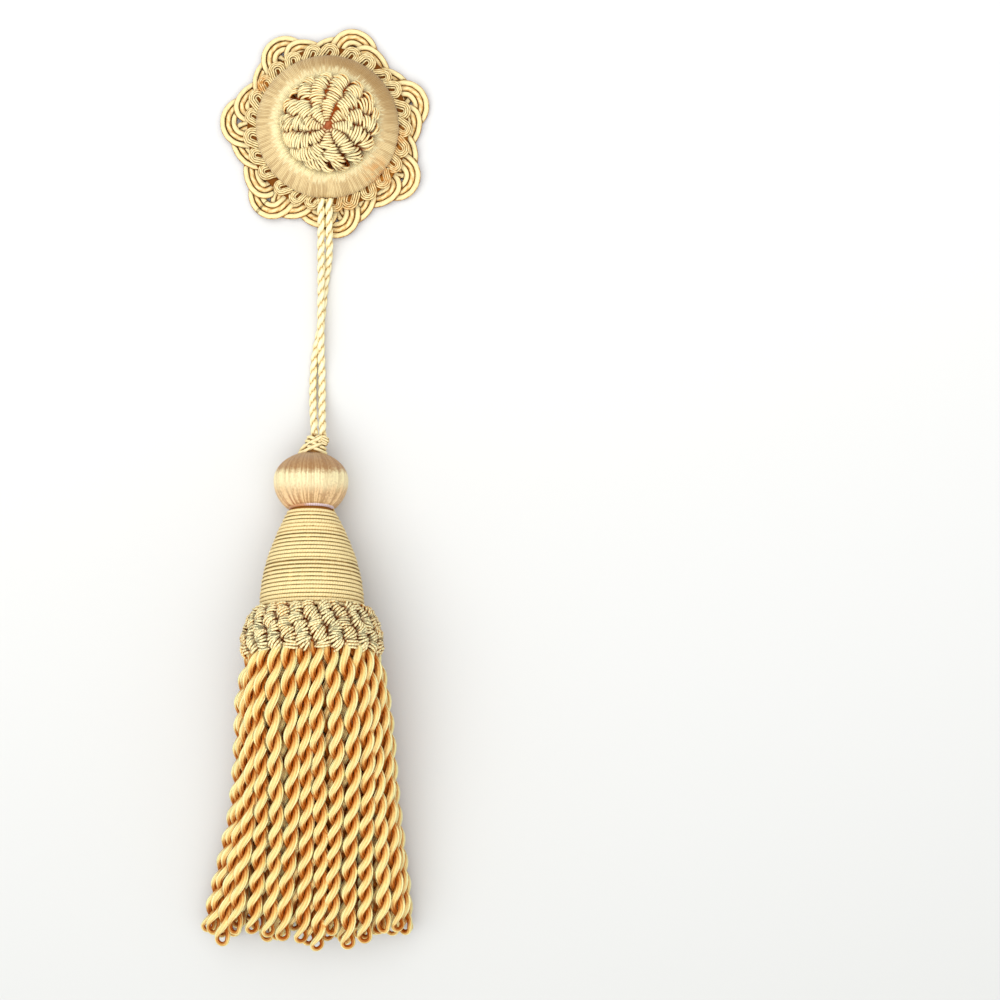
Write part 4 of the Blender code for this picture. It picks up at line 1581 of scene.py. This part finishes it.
piece("bullion_outer", threads(skirt(0), PLY_RADIUS), bullion, "bullion_thread", "bullion_skirt")
piece("bullion_inner", threads(skirt(1), PLY_RADIUS), bullion, "bullion_thread")

# %% [markdown]
# ## The table
#
# The tassel lies on plain white. A single wide face is enough for that, a hair's breadth under
# the tassel, so that the two never flicker. Painted shade makes it a little greyer towards the
# foot of the view.

# %% Table top
TABLE_SIZE = 6.0
TABLE_DROP = 0.0001
TABLE_WHITE = (0.79, 0.79, 0.78, 1)
TABLE_GREY = (0.63, 0.635, 0.62, 1)

table_shape = bmesh.new()
bmesh.ops.create_grid(table_shape, x_segments=1, y_segments=1, size=TABLE_SIZE / 2)
table_mesh = bpy.data.meshes.new("table_top")
table_shape.to_mesh(table_mesh)
table_shape.free()
table_mesh.transform(Matrix.Translation((0, 0, -TABLE_DROP)))
table_finish = Finish("white_table", Roughness=0.7)
_, up_the_table, _ = table_finish.axes()
# Painted shade: greyer towards the foot of the view.
shade_near_foot = 1 - up_the_table.between(-0.37, 0.05)
table_finish.colour(table_finish.mix(shade_near_foot, TABLE_WHITE, TABLE_GREY))
table_mesh.materials.append(table_finish.material)
table = bpy.data.objects.new("table_top", table_mesh)
bpy.context.scene.collection.objects.link(table)
print("table top:", TABLE_SIZE, "m square")

# %% [markdown]
# ## The light
#
# Soft studio light comes from a large panel overhead. It hangs a little to the left and towards
# the foot of the table, so slopes that face the other way are darker. The walls of a white studio
# send back nearly as much, so the shadows stay pale: the world's own white light stands for them.
# The Standard view shows the colours as they were mixed.

# %% Panel, studio walls and colour management
PANEL_SIZE = 1.9
PANEL_POWER = 18.5
PANEL_PLACE = Vector((-0.14, -0.26, 1.2))
PANEL_AIM = Vector((0.0, -0.15, 0))
WALL_LIGHT = 0.7

panel_light = bpy.data.lights.new("overhead_panel", "AREA")
panel_light.size = PANEL_SIZE
panel_light.energy = PANEL_POWER
panel = bpy.data.objects.new("overhead_panel", panel_light)
panel.location = PANEL_PLACE
panel.rotation_euler = (PANEL_AIM - PANEL_PLACE).to_track_quat("-Z", "Y").to_euler()
bpy.context.scene.collection.objects.link(panel)

world = bpy.data.worlds.new("studio")
world.use_nodes = True
world.node_tree.nodes["Background"].inputs["Color"].default_value = (1, 1, 1, 1)
world.node_tree.nodes["Background"].inputs["Strength"].default_value = WALL_LIGHT
bpy.context.scene.world = world
bpy.context.scene.view_settings.view_transform = "Standard"
bpy.context.scene.view_settings.look = "None"
print("panel:", PANEL_SIZE, "m and", PANEL_POWER, "W; walls:", WALL_LIGHT)
